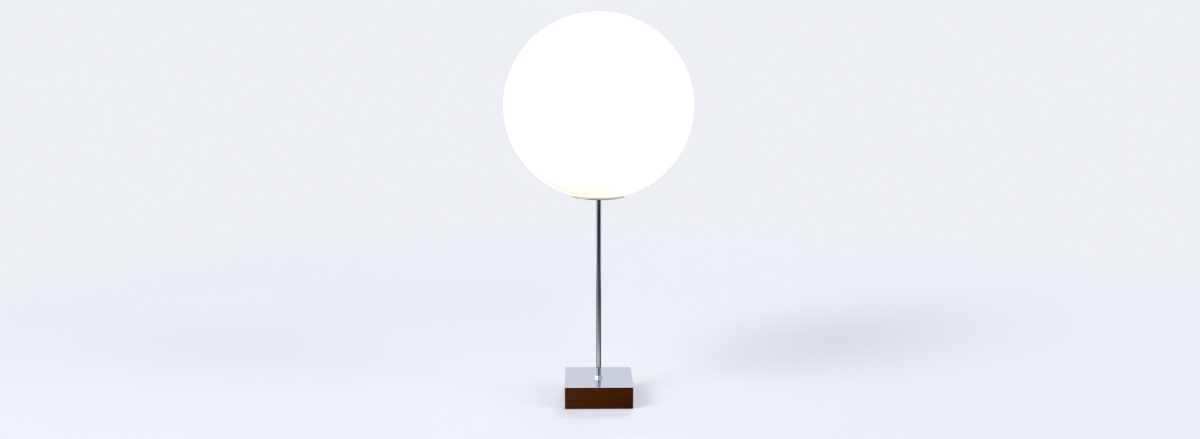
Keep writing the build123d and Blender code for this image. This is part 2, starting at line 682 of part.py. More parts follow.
def bulb_support_wires():
    """Two stiff wires that hold the filament's ends."""
    wire = Line((SUPPORT_ROOTS / 2, 0, STEM_TOP), (SUPPORT_TIPS / 2, 0, SUPPORT_TOP))
    return on_both_sides(along(wire, SUPPORT_WIRE / 2) - bulb_stem())


def bulb_filament():
    """Coiled filament, drawn as the tube that its coil fills, sagging between the wires."""
    end = SUPPORT_TIPS / 2 - SUPPORT_WIRE - FILAMENT_PLAY
    high = SUPPORT_TOP - FILAMENT_COIL / 2
    sag = ThreePointArc((-end, 0, high), (0, 0, high - FILAMENT_SAG), (end, 0, high))
    return along(sag, FILAMENT_COIL / 2)


# ---- Wiring ------------------------------------------------------------------------------------
def lead(side):
    """An insulated lead on one side: connector, pole, then its terminal screw."""
    route = FilletPolyline(
        (side * CONNECTOR_X, CONNECTOR_Y + CONNECTOR_DEEP, CONNECTOR_Z),
        (side * CONNECTOR_X, 0, CONNECTOR_Z),
        (side * LEAD_OFFSET, 0, CONNECTOR_Z),
        (side * LEAD_OFFSET, 0, POLE_TOP + LEAD_FAN),
        (side * TERMINAL_LEAD_X, 0, POLE_TOP + LEAD_FAN + LEAD_FAN_HIGH),
        (side * TERMINAL_LEAD_X, 0, TERMINAL_Z - TERMINAL_HEAD / 2),
        radius=[LEAD_FIRST_BEND, LEAD_FOOT_BEND, LEAD_TOP_BEND, LEAD_TOP_BEND],
    )
    return along(route, LEAD_OD / 2)


def wire_connectors():
    """Twist-on connectors, lying on the bottom plate, that join the leads to the supply."""
    tip = turned(
        (0, CONNECTOR_DEEP),
        (CONNECTOR_BORE / 2, CONNECTOR_DEEP),
        (CONNECTOR_BORE / 2, 0),
        (CONNECTOR_MOUTH / 2, 0),
        (CONNECTOR_MOUTH / 2, CONNECTOR_COLLAR),
        (CONNECTOR_TIP / 2, CONNECTOR_LONG),
        (0, CONNECTOR_LONG),
    )
    tip = fillet(tip.edges().group_by(Axis.Z)[-1], CONNECTOR_ROUND)
    return on_both_sides(Pos(CONNECTOR_X, CONNECTOR_Y, CONNECTOR_Z) * Rot(-90, 0, 0) * tip)


# ---- Every piece, under the name it is kept by ---------------------------------------------------
PIECES = {
    "felt_pad": felt_pad(),
    "bottom_plate": bottom_plate(),
    "bottom_screws": bottom_screws(),
    "corner_brackets": corner_brackets(),
    "base_box": base_box(),
    "ballast": ballast(),
    "ballast_washer": ballast_washer(),
    "pole_lower_nut": hex_nut(LOWER_NUT_Z, LOWER_NUT_TURN),
    "pole_foot_nut": hex_nut(BASE_TOP, FOOT_NUT_TURN),
    "pole": pole(),
    "cord_bushing": cord_bushing(),
    "wire_connectors": wire_connectors(),
    "line_lead": lead(1),
    "neutral_lead": lead(-1),
    "globe_seat": globe_seat(),
    "seat_hub": seat_hub(),
    "seat_locknut": hex_nut(HUB_TOP, SEAT_NUT_TURN),
    "globe_gasket": globe_gasket(),
    "globe_fingers": globe_fingers(),
    "finger_rivets": finger_rivets(),
    "socket_cup": socket_cup(),
    "socket_set_screw": socket_set_screw(),
    "socket_shell": socket_shell(),
    "socket_liner": socket_liner(),
    "socket_block": socket_block(),
    "line_terminal": terminal_screw(0),
    "neutral_terminal": terminal_screw(180),
    "screw_shell": screw_shell(),
    "centre_contact": centre_contact(),
    "bulb_contact": bulb_contact(),
    "bulb_insulator": bulb_insulator(),
    "bulb_cap": bulb_cap(),
    "bulb_glass": bulb_glass(),
    "bulb_stem": bulb_stem(),
    "bulb_support_wires": bulb_support_wires(),
    "bulb_filament": bulb_filament(),
    "globe": globe(),
}

os.makedirs("parts", exist_ok=True)
for name, piece in PIECES.items():
    export_step(piece, f"parts/{name}.step")

bulb_top = BALL_Z + BALL_RADIUS
print(f"lamp height {EQUATOR_Z + GLOBE_B:.1f}, globe's middle at {EQUATOR_Z:.1f}")
print(f"lampholder from {CUP_Z:.1f} to {SHELL_TOP:.1f}, bulb from {CONTACT_Z:.1f} to {bulb_top:.1f}")
print(f"raised bulb clears the lampholder by {CONTACT_Z + BULB_TRAVEL - SHELL_TOP:.1f}")
print(f"raised globe clears the raised bulb by {MOUTH_Z + GLOBE_TRAVEL - bulb_top - BULB_TRAVEL:.1f}")
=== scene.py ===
import math

import bmesh
import bpy
from mathutils import Matrix, Vector


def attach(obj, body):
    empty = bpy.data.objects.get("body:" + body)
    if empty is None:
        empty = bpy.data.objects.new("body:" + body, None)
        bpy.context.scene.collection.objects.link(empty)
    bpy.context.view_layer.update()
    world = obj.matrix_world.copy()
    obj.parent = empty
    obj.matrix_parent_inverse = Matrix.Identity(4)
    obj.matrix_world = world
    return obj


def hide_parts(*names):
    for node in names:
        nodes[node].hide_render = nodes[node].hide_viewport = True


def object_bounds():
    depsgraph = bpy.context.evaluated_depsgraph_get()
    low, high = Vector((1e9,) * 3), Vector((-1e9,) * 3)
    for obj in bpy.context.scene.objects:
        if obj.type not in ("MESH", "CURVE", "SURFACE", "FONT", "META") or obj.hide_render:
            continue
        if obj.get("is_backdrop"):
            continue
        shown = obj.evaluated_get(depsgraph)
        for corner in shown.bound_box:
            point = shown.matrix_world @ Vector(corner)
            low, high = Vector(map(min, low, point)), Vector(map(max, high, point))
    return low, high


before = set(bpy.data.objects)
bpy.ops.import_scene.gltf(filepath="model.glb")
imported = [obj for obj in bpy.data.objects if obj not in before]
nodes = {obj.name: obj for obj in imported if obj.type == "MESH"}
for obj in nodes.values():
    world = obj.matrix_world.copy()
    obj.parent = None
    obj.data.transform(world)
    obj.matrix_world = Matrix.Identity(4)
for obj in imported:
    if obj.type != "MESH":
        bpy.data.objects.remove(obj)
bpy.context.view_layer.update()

# Glass globe table lamp. Lengths below are in millimetres, and times MM they are metres, in the
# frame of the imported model: +Z up from the table, -Y towards the front of the base.
MM = 0.001

# ---- Camera ------------------------------------------------------------------------------------
# The photograph's own viewing angle: two metres in front of the pole, a little above the globe's
# middle and tilted down, as fitted to the globe's outline and the base's edges.
CAMERA_PLACE = (-0.0244, -2.0375, 0.6875)
CAMERA_DOWN = 9.27  # degrees
CAMERA_RIGHT = 0.76
CAMERA_LENS = 32.46
CAMERA_SENSOR = 36.0

camera = bpy.data.cameras.new("camera")
camera.sensor_width = CAMERA_SENSOR
camera.lens = CAMERA_LENS
camera.clip_end = 100
viewer = bpy.data.objects.new("camera", camera)
viewer.location = CAMERA_PLACE
viewer.rotation_euler = (math.radians(90 - CAMERA_DOWN), 0, math.radians(-CAMERA_RIGHT))
bpy.context.collection.objects.link(viewer)
bpy.context.scene.camera = viewer
bpy.context.scene.view_settings.view_transform = "Standard"

# ---- Studio ------------------------------------------------------------------------------------
# A round paper cove that runs up from a pale floor without an edge, and three soft lamps. Black
# cards, a paper window and a dark table top stand round the lamp as well, seen by polished metal
# only. They draw the dark and bright lines that the real chrome has.
COVE_RADIUS = 5000
COVE_BEND = 2600
COVE_TOP = 7000
COVE_STEPS = 96
BEND_STEPS = 24
PAPER_HOLE = 122  # a square hole, hidden by the lamp's felt, lets light reach its underside
PAPER_COLOUR = "#EDEFF5"
PAPER_NEAR = 1000  # further off than this, the paper starts to show at its own even level
PAPER_FAR = 2300
SKY_COLOUR = "#F1F2F4"
SKY_LIGHT = 0.6
SMOOTHLY = {"interpolation_type": "SMOOTHSTEP"}
COLOURS = {"data_type": "RGBA"}


def linear(colour):
    """An sRGB hex colour as linear red, green, blue and alpha."""
    parts = [int(colour[k : k + 2], 16) / 255 for k in (1, 3, 5)]
    return [p / 12.92 if p <= 0.04045 else ((p + 0.055) / 1.055) ** 2.4 for p in parts] + [1]


def add(tree, kind, settings=None, inputs=None):
    """A new node with its settings, and each input set to a value or linked to a socket."""
    node = tree.nodes.new(kind)
    for name, value in (settings or {}).items():
        setattr(node, name, value)
    for name, value in (inputs or {}).items():
        if isinstance(value, bpy.types.Node):
            value = value.outputs[0]
        if isinstance(value, bpy.types.NodeSocket):
            tree.links.new(value, node.inputs[name])
        else:
            node.inputs[name].default_value = value
    return node


def surfaced(name, light, dark, patch, rough, grain, depth, sockets=None, stretch=(1, 1, 1)):
    """A finish whose colour and gloss drift in patches, over a fine relief. Sizes are in mm."""
    made = bpy.data.materials.new(name)
    made.use_nodes = True
    tree = made.node_tree
    shader = tree.nodes["Principled BSDF"]
    for socket, value in (sockets or {}).items():
        shader.inputs[socket].default_value = value
    place = add(tree, "ShaderNodeTexCoord").outputs["Object"]
    drawn = add(tree, "ShaderNodeMapping", None, {"Vector": place, "Scale": stretch})
    clumps = {"Vector": drawn, "Scale": 1 / (patch * MM), "Detail": 4.0}
    patches = add(tree, "ShaderNodeTexNoise", None, clumps)
    colour = add(tree, "ShaderNodeMix", COLOURS, {0: patches, 6: linear(light), 7: linear(dark)})
    drift = {"From Min": 0.3, "From Max": 0.7, "To Min": rough[0], "To Max": rough[1]}
    gloss = add(tree, "ShaderNodeMapRange", None, {"Value": patches, **drift})
    pores = {"Vector": drawn, "Scale": 1 / (grain * MM), "Detail": 3.0}
    grains = add(tree, "ShaderNodeTexNoise", None, pores)
    relief = add(
        tree, "ShaderNodeBump", None, {"Height": grains, "Strength": 1.0, "Distance": depth * MM}
    )
    tree.links.new(colour.outputs[2], shader.inputs["Base Color"])
    tree.links.new(gloss.outputs[0], shader.inputs["Roughness"])
    tree.links.new(relief.outputs[0], shader.inputs["Normal"])
    return made


def placed(name, bm, sharp=35, shape=None):
    """An object made of a bmesh, smooth except at edges sharper than an angle in degrees."""
    if shape:
        bm.transform(shape)
    mesh = bpy.data.meshes.new(name)
    bm.to_mesh(mesh)
    bm.free()
    mesh.shade_smooth()
    mesh.set_sharp_from_angle(angle=math.radians(sharp))
    piece = bpy.data.objects.new(name, mesh)
    bpy.context.collection.objects.link(piece)
    return piece


def spun(name, outline, steps, pitch=0, closed=True, rolled=False, sharp=35):
    """An outline of radius, height and thread depth, all in mm, turned round the Z axis."""
    bm = bmesh.new()
    rings = []
    for radius, height, *thread in outline:
        ring = []
        for k in range(steps):
            cut = 0
            if thread:
                phase = (k / steps - height / pitch) % 1
                wave = (1 + math.cos(math.tau * phase)) / 2 if rolled else abs(2 * phase - 1)
                cut = thread[0] * wave
            turn = math.tau * k / steps
            away = (radius - cut) * MM
            ring.append((away * math.cos(turn), away * math.sin(turn), height * MM))
        if radius < 1e-6:
            rings.append([bm.verts.new(ring[0])] * steps)
        else:
            rings.append([bm.verts.new(place) for place in ring])
    for low, high in zip(rings, rings[1:] + (rings[:1] if closed else [])):
        for k in range(steps):
            corners = [low[k], low[(k + 1) % steps], high[(k + 1) % steps], high[k]]
            corners = list(dict.fromkeys(corners))
            if len(corners) > 2:
                bm.faces.new(corners)
    if closed:
        bmesh.ops.recalc_face_normals(bm, faces=bm.faces)
    return placed(name, bm, sharp)


def looked_at(tree):
    """1 for what the eye sees, in mirrors and through glass too, and 0 for light on matt things."""
    path = add(tree, "ShaderNodeLightPath").outputs
    seen = path["Is Camera Ray"]
    for way in ("Is Glossy Ray", "Is Transmission Ray"):
        seen = add(tree, "ShaderNodeMath", {"operation": "MAXIMUM"}, {0: seen, 1: path[way]})
    return seen


# Matt backdrop paper, evenly lit far from the lamp. Its back lets the eye through, so that the
# lamp shows from below too.
paper = surfaced("backdrop_paper", PAPER_COLOUR, PAPER_COLOUR, 400, (0.9, 0.95), 1.5, 0.02)
tree = paper.node_tree
place = add(tree, "ShaderNodeTexCoord").outputs["Object"]
away = add(tree, "ShaderNodeVectorMath", {"operation": "LENGTH"}, {0: place}).outputs["Value"]
ends = {"From Min": PAPER_NEAR * MM, "From Max": PAPER_FAR * MM}
far = add(tree, "ShaderNodeMapRange", SMOOTHLY, {"Value": away, **ends})
even = add(tree, "ShaderNodeMath", {"operation": "MULTIPLY"}, {0: far, 1: looked_at(tree)})
glow = add(tree, "ShaderNodeEmission", None, {"Color": linear(PAPER_COLOUR)})
shown = add(
    tree,
    "ShaderNodeMixShader",
    None,
    {0: even, 1: tree.nodes["Principled BSDF"].outputs[0], 2: glow},
)
behind = add(tree, "ShaderNodeNewGeometry").outputs["Backfacing"]
clear = add(tree, "ShaderNodeBsdfTransparent")
open_back = add(tree, "ShaderNodeMixShader", None, {0: behind, 1: shown, 2: clear})
tree.links.new(open_back.outputs[0], tree.nodes["Material Output"].inputs["Surface"])

bend = [math.radians(90 * k / BEND_STEPS) for k in range(BEND_STEPS + 1)]
cove_line = [(PAPER_HOLE / 2, 0), (COVE_RADIUS / 8, 0), (COVE_RADIUS / 2, 0)]
cove_line += [
    (COVE_RADIUS + COVE_BEND * math.sin(a), COVE_BEND * (1 - math.cos(a))) for a in bend
]
cove_line.append((COVE_RADIUS + COVE_BEND, COVE_TOP))
cove = spun("backdrop_cove", cove_line, COVE_STEPS, closed=False, sharp=60)
for corner in cove.data.vertices[:COVE_STEPS]:
    corner.co *= PAPER_HOLE / 2 * MM / max(abs(corner.co.x), abs(corner.co.y))
cove.data.flip_normals()
cove.data.materials.append(paper)
cove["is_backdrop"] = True

world = bpy.data.worlds.new("studio")
world.use_nodes = True
tree = world.node_tree
level = add(
    tree, "ShaderNodeMapRange", None, {"Value": looked_at(tree), "To Min": SKY_LIGHT, "To Max": 1.0}
)
sky = tree.nodes["Background"].inputs
sky["Color"].default_value = linear(SKY_COLOUR)
tree.links.new(level.outputs[0], sky["Strength"])
bpy.context.scene.world = world

# name, place, width and height in metres, watts, colour
SOFTBOXES = [
    ("key", (-3.0, -2.25, 3.3), (1.5, 2.2), 99, "#FFFBF6"),
    ("fill", (3.3, -1.3, 2.0), (0.9, 2.4), 35, "#F7F9FF"),
    ("back", (0.8, 3.6, 3.2), (2.2, 1.3), 54, "#FFFFFF"),
]
AIM = Vector((0, 0, 0.35))
for name, place, size, watts, colour in SOFTBOXES:
    lamp = bpy.data.lights.new(name, "AREA")
    lamp.shape = "RECTANGLE"
    lamp.size, lamp.size_y = size
    lamp.energy = watts
    lamp.color = linear(colour)[:3]
    holder = bpy.data.objects.new(name, lamp)
    holder.location = place
    holder.rotation_euler = (AIM - Vector(place)).to_track_quat("-Z", "Y").to_euler()
    bpy.context.collection.objects.link(holder)

# Black velvet on the cards. The table that the metal sees is a small oiled walnut board on a pale
# floor. That floor's colour is painted darker in front, as painted shade of light falling off
# towards a dark room, and painted dark sectors stand for the reflections of dark things on it.
velvet = surfaced("black_velvet", "#0A0A0B", "#111113", 30, (0.85, 0.95), 2, 0.2)
matt = {"Specular IOR Level": 0.0}
seen_floor = surfaced(
    "walnut_board_and_painted_floor", "#220D04", "#693210", 8, (0.9, 0.95), 3, 0.0, matt, (0.06, 1, 1)
)
BOARD_REACH = 215
BOARD_HALF = 100
BOARD_LEFT = 1.45  # painted light: the board's colour is lighter on the left, nearer to the window
BOARD_RIGHT = 0.7
SEEN_HEIGHT = 0.4  # the seen table lies just above the paper, and starts inside the base
SEEN_START = 30
SIDE_SHADE = "#DEDFE4"
SIDE_FROM, SIDE_TO = 62, 98  # degrees from the middle of the dark front to where it ends
FRONT_LEAN = 0.26  # radians that the middle of the dark front is turned to the right
DARK_SECTORS_NEAR = 850  # the painted dark sectors fade out between these distances
DARK_SECTORS_FAR = 1400
# distance from the pole in mm, and the floor's painted shade there in front of the lamp
PAINTED_FLOOR_FADE = [(0, "#F3F4F8"), (285, "#F3F4F8"), (335, "#E4E6EA"), (420, "#C2C4CA")]
PAINTED_FLOOR_FADE += [(640, "#9A9CA2"), (900, "#707278"), (1350, "#45464B"), (2000, "#37383C")]
# degrees from the front towards the right, and the share of light that painted dark sectors leave
PAINTED_DARK_SECTORS = [
    (-180, "#FFFFFF"),
    (-170, "#202020"),
    (-112, "#202020"),
    (-98, "#FFFFFF"),
    (-52, "#FFFFFF"),
    (-38, "#A8A8A8"),
    (-12, "#A8A8A8"),
    (0, "#FFFFFF"),
    (30, "#FFFFFF"),
    (40, "#101010"),
    (88, "#101010"),
    (102, "#A0A0A0"),
    (130, "#C0C0C0"),
    (180, "#FFFFFF"),
]
# where each card starts and ends, in degrees from the front towards the right, and its bottom
# and top
CARD_SPANS = [
    (-46, 4, 30, 1100),
    (20, 39, 30, 1100),
    (49, 88, 30, 1100),
    (-119, -95, 30, 700),
    (110, 134, 30, 700),
    (-160, -140, 30, 700),
]
WINDOW = (-86, -66, 450, 1700)
WINDOW_LIGHT = 1.6
CARD_AWAY = 3100
tree = seen_floor.node_tree
shader = tree.nodes["Principled BSDF"]
place = add(tree, "ShaderNodeTexCoord").outputs["Object"]
level = add(tree, "ShaderNodeVectorMath", {"operation": "MULTIPLY"}, {0: place, 1: (1, 1, 0)})
away = add(tree, "ShaderNodeVectorMath", {"operation": "LENGTH"}, {0: level}).outputs["Value"]


def banded(tree, fac, shades):
    """Shades between a first and a last place, given as places and sRGB colours."""
    band = add(tree, "ShaderNodeValToRGB", None, {"Fac": fac})
    stops = band.color_ramp.elements
    first, last = shades[0][0], shades[-1][0]
    stops[0].color = linear(shades[0][1])
    stops[1].color = linear(shades[-1][1])
    for where, shade in shades[1:-1]:
        stops.new((where - first) / (last - first)).color = linear(shade)
    return band


# painted shade: the floor's colour darkens with distance in front of the lamp
reach = add(
    tree, "ShaderNodeMapRange", None, {"Value": away, "From Max": PAINTED_FLOOR_FADE[-1][0] * MM}
)
painted_front_fade = banded(tree, reach, PAINTED_FLOOR_FADE)
flat = add(tree, "ShaderNodeSeparateXYZ", None, {0: level})
back = add(tree, "ShaderNodeMath", {"operation": "MULTIPLY"}, {0: flat.outputs[1], 1: -1.0})
round_it = add(tree, "ShaderNodeMath", {"operation": "ARCTAN2"}, {0: flat.outputs[0], 1: back})
ends = {"From Min": -math.pi, "From Max": math.pi}
share = add(tree, "ShaderNodeMapRange", None, {"Value": round_it, **ends})
# painted reflection: dark sectors in the floor's colour stand for dark things round the lamp
painted_sectors = banded(tree, share, PAINTED_DARK_SECTORS)
ends = {"From Min": DARK_SECTORS_NEAR * MM, "From Max": DARK_SECTORS_FAR * MM, "To Min": 1.0, "To Max": 0.0}
near = add(tree, "ShaderNodeMapRange", SMOOTHLY, {"Value": away, **ends})
leaned = add(tree, "ShaderNodeMath", {"operation": "SUBTRACT"}, {0: round_it, 1: FRONT_LEAN})
turned = add(tree, "ShaderNodeMath", {"operation": "ABSOLUTE"}, {0: leaned})
ends = {"From Min": math.radians(SIDE_FROM), "From Max": math.radians(SIDE_TO)}
aside = add(tree, "ShaderNodeMapRange", SMOOTHLY, {"Value": turned, **ends})
open_floor = add(tree, "ShaderNodeMix", COLOURS, {0: aside, 6: painted_front_fade, 7: linear(SIDE_SHADE)})
shaded_floor = add(
    tree,
    "ShaderNodeMix",
    {**COLOURS, "blend_type": "MULTIPLY"},
    {0: near, 6: open_floor.outputs[2], 7: painted_sectors},
)
past = add(
    tree, "ShaderNodeMath", {"operation": "GREATER_THAN"}, {0: away, 1: BOARD_REACH * MM}
)
wood = shader.inputs["Base Color"].links[0].from_socket
# painted light: the wood's colour is lighter on the left, as if nearer to a window
ends = {"From Min": -BOARD_HALF * MM, "From Max": BOARD_HALF * MM}
ends |= {"To Min": BOARD_LEFT, "To Max": BOARD_RIGHT}
painted_window_light = add(tree, "ShaderNodeMapRange", None, {"Value": flat.outputs[0], **ends})
painted_lit_wood = add(tree, "ShaderNodeVectorMath", {"operation": "SCALE"}, {0: wood, "Scale": painted_window_light})
seen = add(tree, "ShaderNodeMix", COLOURS, {0: past, 6: painted_lit_wood, 7: shaded_floor.outputs[2]})
tree.links.new(seen.outputs[2], shader.inputs["Base Color"])

# A paper window, bright like the sky outside.
daylit = {"Emission Color": linear("#F4F8FF"), "Emission Strength": WINDOW_LIGHT}
pane = surfaced("window_paper", "#F4F6FA", "#F4F6FA", 400, (0.9, 0.95), 2, 0.0, daylit)
cards = []
for start, end, bottom, top in [*CARD_SPANS, WINDOW]:
    half = CARD_AWAY * math.tan(math.radians(end - start) / 2)
    bm = bmesh.new()
    corners = [(half, bottom), (-half, bottom), (-half, top), (half, top)]
    bm.faces.new([bm.verts.new((x, -CARD_AWAY, z)) for x, z in corners])
    shape = Matrix.Rotation(math.radians(start + end) / 2, 4, "Z") @ Matrix.Scale(MM, 4)
    card = placed(f"card_{start}", bm, shape=shape)
    cards.append((card, pane if start == WINDOW[0] else velvet))
floor_line = [(CARD_AWAY, SEEN_HEIGHT), (SEEN_START, SEEN_HEIGHT)]
cards.append((spun("seen_floor", floor_line, 64, closed=False), seen_floor))
for card, finish in cards:
    card.data.materials.append(finish)
    card.visible_camera = False
    card.visible_diffuse = False
    card.visible_transmission = False
    card.visible_shadow = False
    card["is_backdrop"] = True


# ---- Felt pad ----------------------------------------------------------------------------------
# Pressed wool felt, die-cut with a hole under each screw and glued to the bottom plate. It is
# two millimetres thick and matt, and loose fibres stand out of its cut edges.
FELT_VOXEL = 0.9
FELT_LUMP = 0.14
FELT_LUMP_WIDE = 2.2
FIBRE_CURL = {  # a loose fibre's curve, in metres from where it leaves the felt
    "Start": (0, 0, -0.0001),
    "Start Handle": (0, 0, 0.0003),
    "End Handle": (0.0003, 0, 0.0005),
    "End": (0.0007, 0.0002, 0.0006),
}
FIBRE_LEAN = 0.7  # radians
TABLE_CLEAR = 0.00005  # metres that the lowest fibres stay above the table


def applied(piece):
    """The piece with its modifiers worked into its mesh."""
    evaluated = piece.evaluated_get(bpy.context.evaluated_depsgraph_get())
    mesh = bpy.data.meshes.new_from_object(evaluated)
    piece.modifiers.clear()
    piece.data = mesh
    return piece


def copied(node, name, sharp=35):
    """A copy of a modelled node, with its loose triangles joined up."""
    bm = bmesh.new()
    bm.from_mesh(nodes[node].data)
    bmesh.ops.remove_doubles(bm, verts=bm.verts, dist=1e-6)
    return placed(name, bm, sharp)


def finished(piece, finish, body, slot, *replaced):
    """Gives a piece its finish and its body, and hides the nodes it stands for. Slot: not used."""
    piece.data.materials.clear()
    piece.data.materials.append(finish)
    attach(piece, body)
    if replaced:
        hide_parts(*replaced)


def geometry_tree(name, sizes):
    """A new tree with an input for each size and for the finish, and its end sockets."""
    tree = bpy.data.node_groups.new(name, "GeometryNodeTree")
    tree.interface.new_socket("Geometry", in_out="OUTPUT", socket_type="NodeSocketGeometry")
    for label, kind in {**sizes, "Finish": "Material"}.items():
        tree.interface.new_socket(label, in_out="INPUT", socket_type="NodeSocket" + kind)
    return tree, add(tree, "NodeGroupInput").outputs, add(tree, "NodeGroupOutput").inputs


def tube(tree, curve, sides, radius, capped):
    """A bar of a number of sides along a curve in a geometry tree."""
    size = {"Resolution": sides, "Radius": radius}
    ring = add(tree, "GeometryNodeCurvePrimitiveCircle", None, size)
    sweep = {"Curve": curve, "Profile Curve": ring, "Fill Caps": capped}
    return add(tree, "GeometryNodeCurveToMesh", None, sweep)


def ended(tree, shape, given, result):
    """Ends a geometry tree: what it has made becomes real mesh in the given finish."""
    real = add(tree, "GeometryNodeRealizeInstances", None, {0: shape})
    coloured = add(
        tree, "GeometryNodeSetMaterial", None, {"Geometry": real, "Material": given["Finish"]}
    )
    tree.links.new(coloured.outputs[0], result[0])


def grown(tree, name, sizes, start=None, sharp=35):
    """A new object with the plain mesh that a geometry tree gives at these sizes."""
    piece = bpy.data.objects.new(name, start or bpy.data.meshes.new(name))
    bpy.context.collection.objects.link(piece)
    modifier = piece.modifiers.new(name, "NODES")
    modifier.node_group = tree
    for item in tree.interface.items_tree:
        if item.in_out == "INPUT" and item.name in sizes:
            modifier[item.identifier] = sizes[item.name]
    piece = applied(piece)
    piece.data.shade_smooth()
    piece.data.set_sharp_from_angle(angle=math.radians(sharp))
    return piece


# Wool felt is a mat of fibres: dark, without any gloss, and clumped in patches of a few mm. Real
# fibres are 0.03 mm, drawn ten times coarser in its relief so that they show.
napped = {"Sheen Weight": 0.4, "Sheen Roughness": 0.5}
wool = surfaced("pressed_wool_felt", "#1A1A1D", "#2D2D33", 4.0, (0.9, 1.0), 0.35, 0.25, napped)

tree, given, result = geometry_tree(
    "felt_fibres",
    {"Felt": "Geometry", "Density": "Float", "Thickness": "Float", "Seed": "Int"},
)
facing = add(tree, "ShaderNodeSeparateXYZ", None, {0: add(tree, "GeometryNodeInputNormal")})
steep = add(tree, "ShaderNodeMath", {"operation": "ABSOLUTE"}, {0: facing.outputs[2]})
edge = add(tree, "ShaderNodeMath", {"operation": "LESS_THAN"}, {0: steep, 1: 0.5})
spots = add(
    tree,
    "GeometryNodeDistributePointsOnFaces",
    None,
    {"Mesh": given["Felt"], "Selection": edge, "Density": given["Density"], "Seed": given["Seed"]},
)
least, most = (-FIBRE_LEAN, -FIBRE_LEAN, 0.0), (FIBRE_LEAN, FIBRE_LEAN, math.tau)
curl = add(tree, "GeometryNodeCurvePrimitiveBezierSegment", None, {"Resolution": 4})
for handle, place in FIBRE_CURL.items():
    curl.inputs[handle].default_value = place
strand = tube(tree, curl, 3, given["Thickness"], False)
wild = add(
    tree,
    "FunctionNodeRandomValue",
    {"data_type": "FLOAT_VECTOR"},
    {0: least, 1: most, "Seed": given["Seed"]},
)
leaning = add(
    tree,
    "FunctionNodeRotateRotation",
    {"rotation_space": "LOCAL"},
    {0: spots.outputs["Rotation"], 1: wild},
)
planted = add(
    tree,
    "GeometryNodeInstanceOnPoints",
    None,
    {"Points": spots.outputs["Points"], "Instance": strand, "Rotation": leaning},
)
real = add(tree, "GeometryNodeRealizeInstances", None, {0: planted})
where = add(tree, "ShaderNodeSeparateXYZ", None, {0: add(tree, "GeometryNodeInputPosition")})
off_floor = add(
    tree, "ShaderNodeMath", {"operation": "MAXIMUM"}, {0: where.outputs[2], 1: TABLE_CLEAR}
)
lifted = add(
    tree, "ShaderNodeCombineXYZ", None, {0: where.outputs[0], 1: where.outputs[1], 2: off_floor}
)
settled = add(tree, "GeometryNodeSetPosition", None, {"Geometry": real, "Position": lifted})
ended(tree, settled, given, result)

slab = copied("felt_pad", "felt_pad_wool")
remesh = slab.modifiers.new("mat", "REMESH")
remesh.mode = "VOXEL"
remesh.voxel_size = FELT_VOXEL * MM
lumps = bpy.data.textures.new("felt_lumps", "CLOUDS")
lumps.noise_scale = FELT_LUMP_WIDE * MM
press = slab.modifiers.new("lumps", "DISPLACE")
press.texture = lumps
press.strength = FELT_LUMP * MM
press.mid_level = 1.0
felt = applied(slab)
nap = grown(
    tree,
    "felt_pad_fibres",
    {"Density": 1400000.0, "Thickness": 0.00004, "Seed": 4, "Finish": wool},
    felt.data.copy(),
    80,
)
finished(felt, wool, "stand", "felt", "felt_pad")
finished(nap, wool, "stand", "felt")


# ---- Bottom plate and its screws ---------------------------------------------------------------
# A zinc-plated sheet-steel plate closes the box. Four slotted pan-head screws, turned from bar
# and zinc-plated too, hold it up against the angles in the corners.
SCREW_HEAD = 7.4
SCREW_HEAD_HIGH = 1.6
SCREW_SHANK = 4.0
SCREW_LONG = 7.0
SCREW_PITCH = 0.7
SCREW_CIRCLE = 54 * math.sqrt(2)
SCREW_UNDER = 2.0  # height of the underside of the heads, which point down
SLOT_WIDE = 1.0


def dressed(finish, *names):
    """Gives a finish to modelled nodes that stay as they are."""
    for name in names:
        slots = nodes[name].data.materials
        if not slots:
            slots.append(finish)
        for k in range(len(slots)):
            slots[k] = finish


def less(piece, cutter):
    """The piece with the cutter's shape taken out of it."""
    cut = piece.modifiers.new("cut", "BOOLEAN")
    cut.operation = "DIFFERENCE"
    cut.solver = "EXACT"
    cut.object = cutter
    piece = applied(piece)
    bpy.data.objects.remove(cutter)
    piece.data.set_sharp_from_angle(angle=math.radians(35))
    return piece


def block(name, low, high):
    """A plain cutter between two corners in mm."""
    bm = bmesh.new()
    bmesh.ops.create_cube(bm, size=1)
    middle = [(a + b) / 2 for a, b in zip(low, high)]
    size = [b - a for a, b in zip(low, high)]
    bm.transform(Matrix.Translation(middle) @ Matrix.Diagonal(size + [1]))
    return placed(name, bm, shape=Matrix.Scale(MM, 4))


def slotted_screw(name, head, head_high, shank, length, pitch, slot_wide, slot_deep):
    """A pan-head screw, head up, with the underside of its head at height 0."""
    dome = [math.radians(90 * k / 8) for k in range(9)]
    curve = head_high * 0.9
    outline = [(0, -length), (shank / 2 - pitch, -length)]
    turns = round(length / pitch * 5)
    outline += [
        (shank / 2, -length + pitch / 2 + (length - pitch) * k / turns, 0.6 * pitch)
        for k in range(turns + 1)
    ]
    neck = shank / 2 - pitch * 0.3
    outline += [(neck, -0.05), (neck, 0), (head / 2, 0)]
    outline += [
        (head / 2 - curve * (1 - math.cos(a)), head_high - curve * (1 - math.sin(a))) for a in dome
    ]
    outline.append((0, head_high))
    screw = spun(name, outline, 40, pitch, closed=False)
    bm = bmesh.new()
    bm.from_mesh(screw.data)
    bmesh.ops.recalc_face_normals(bm, faces=bm.faces)
    bm.to_mesh(screw.data)
    bm.free()
    slot = block(
        "slot",
        (-head, -slot_wide / 2, head_high - slot_deep),
        (head, slot_wide / 2, head_high + 1),
    )
    return less(screw, slot)


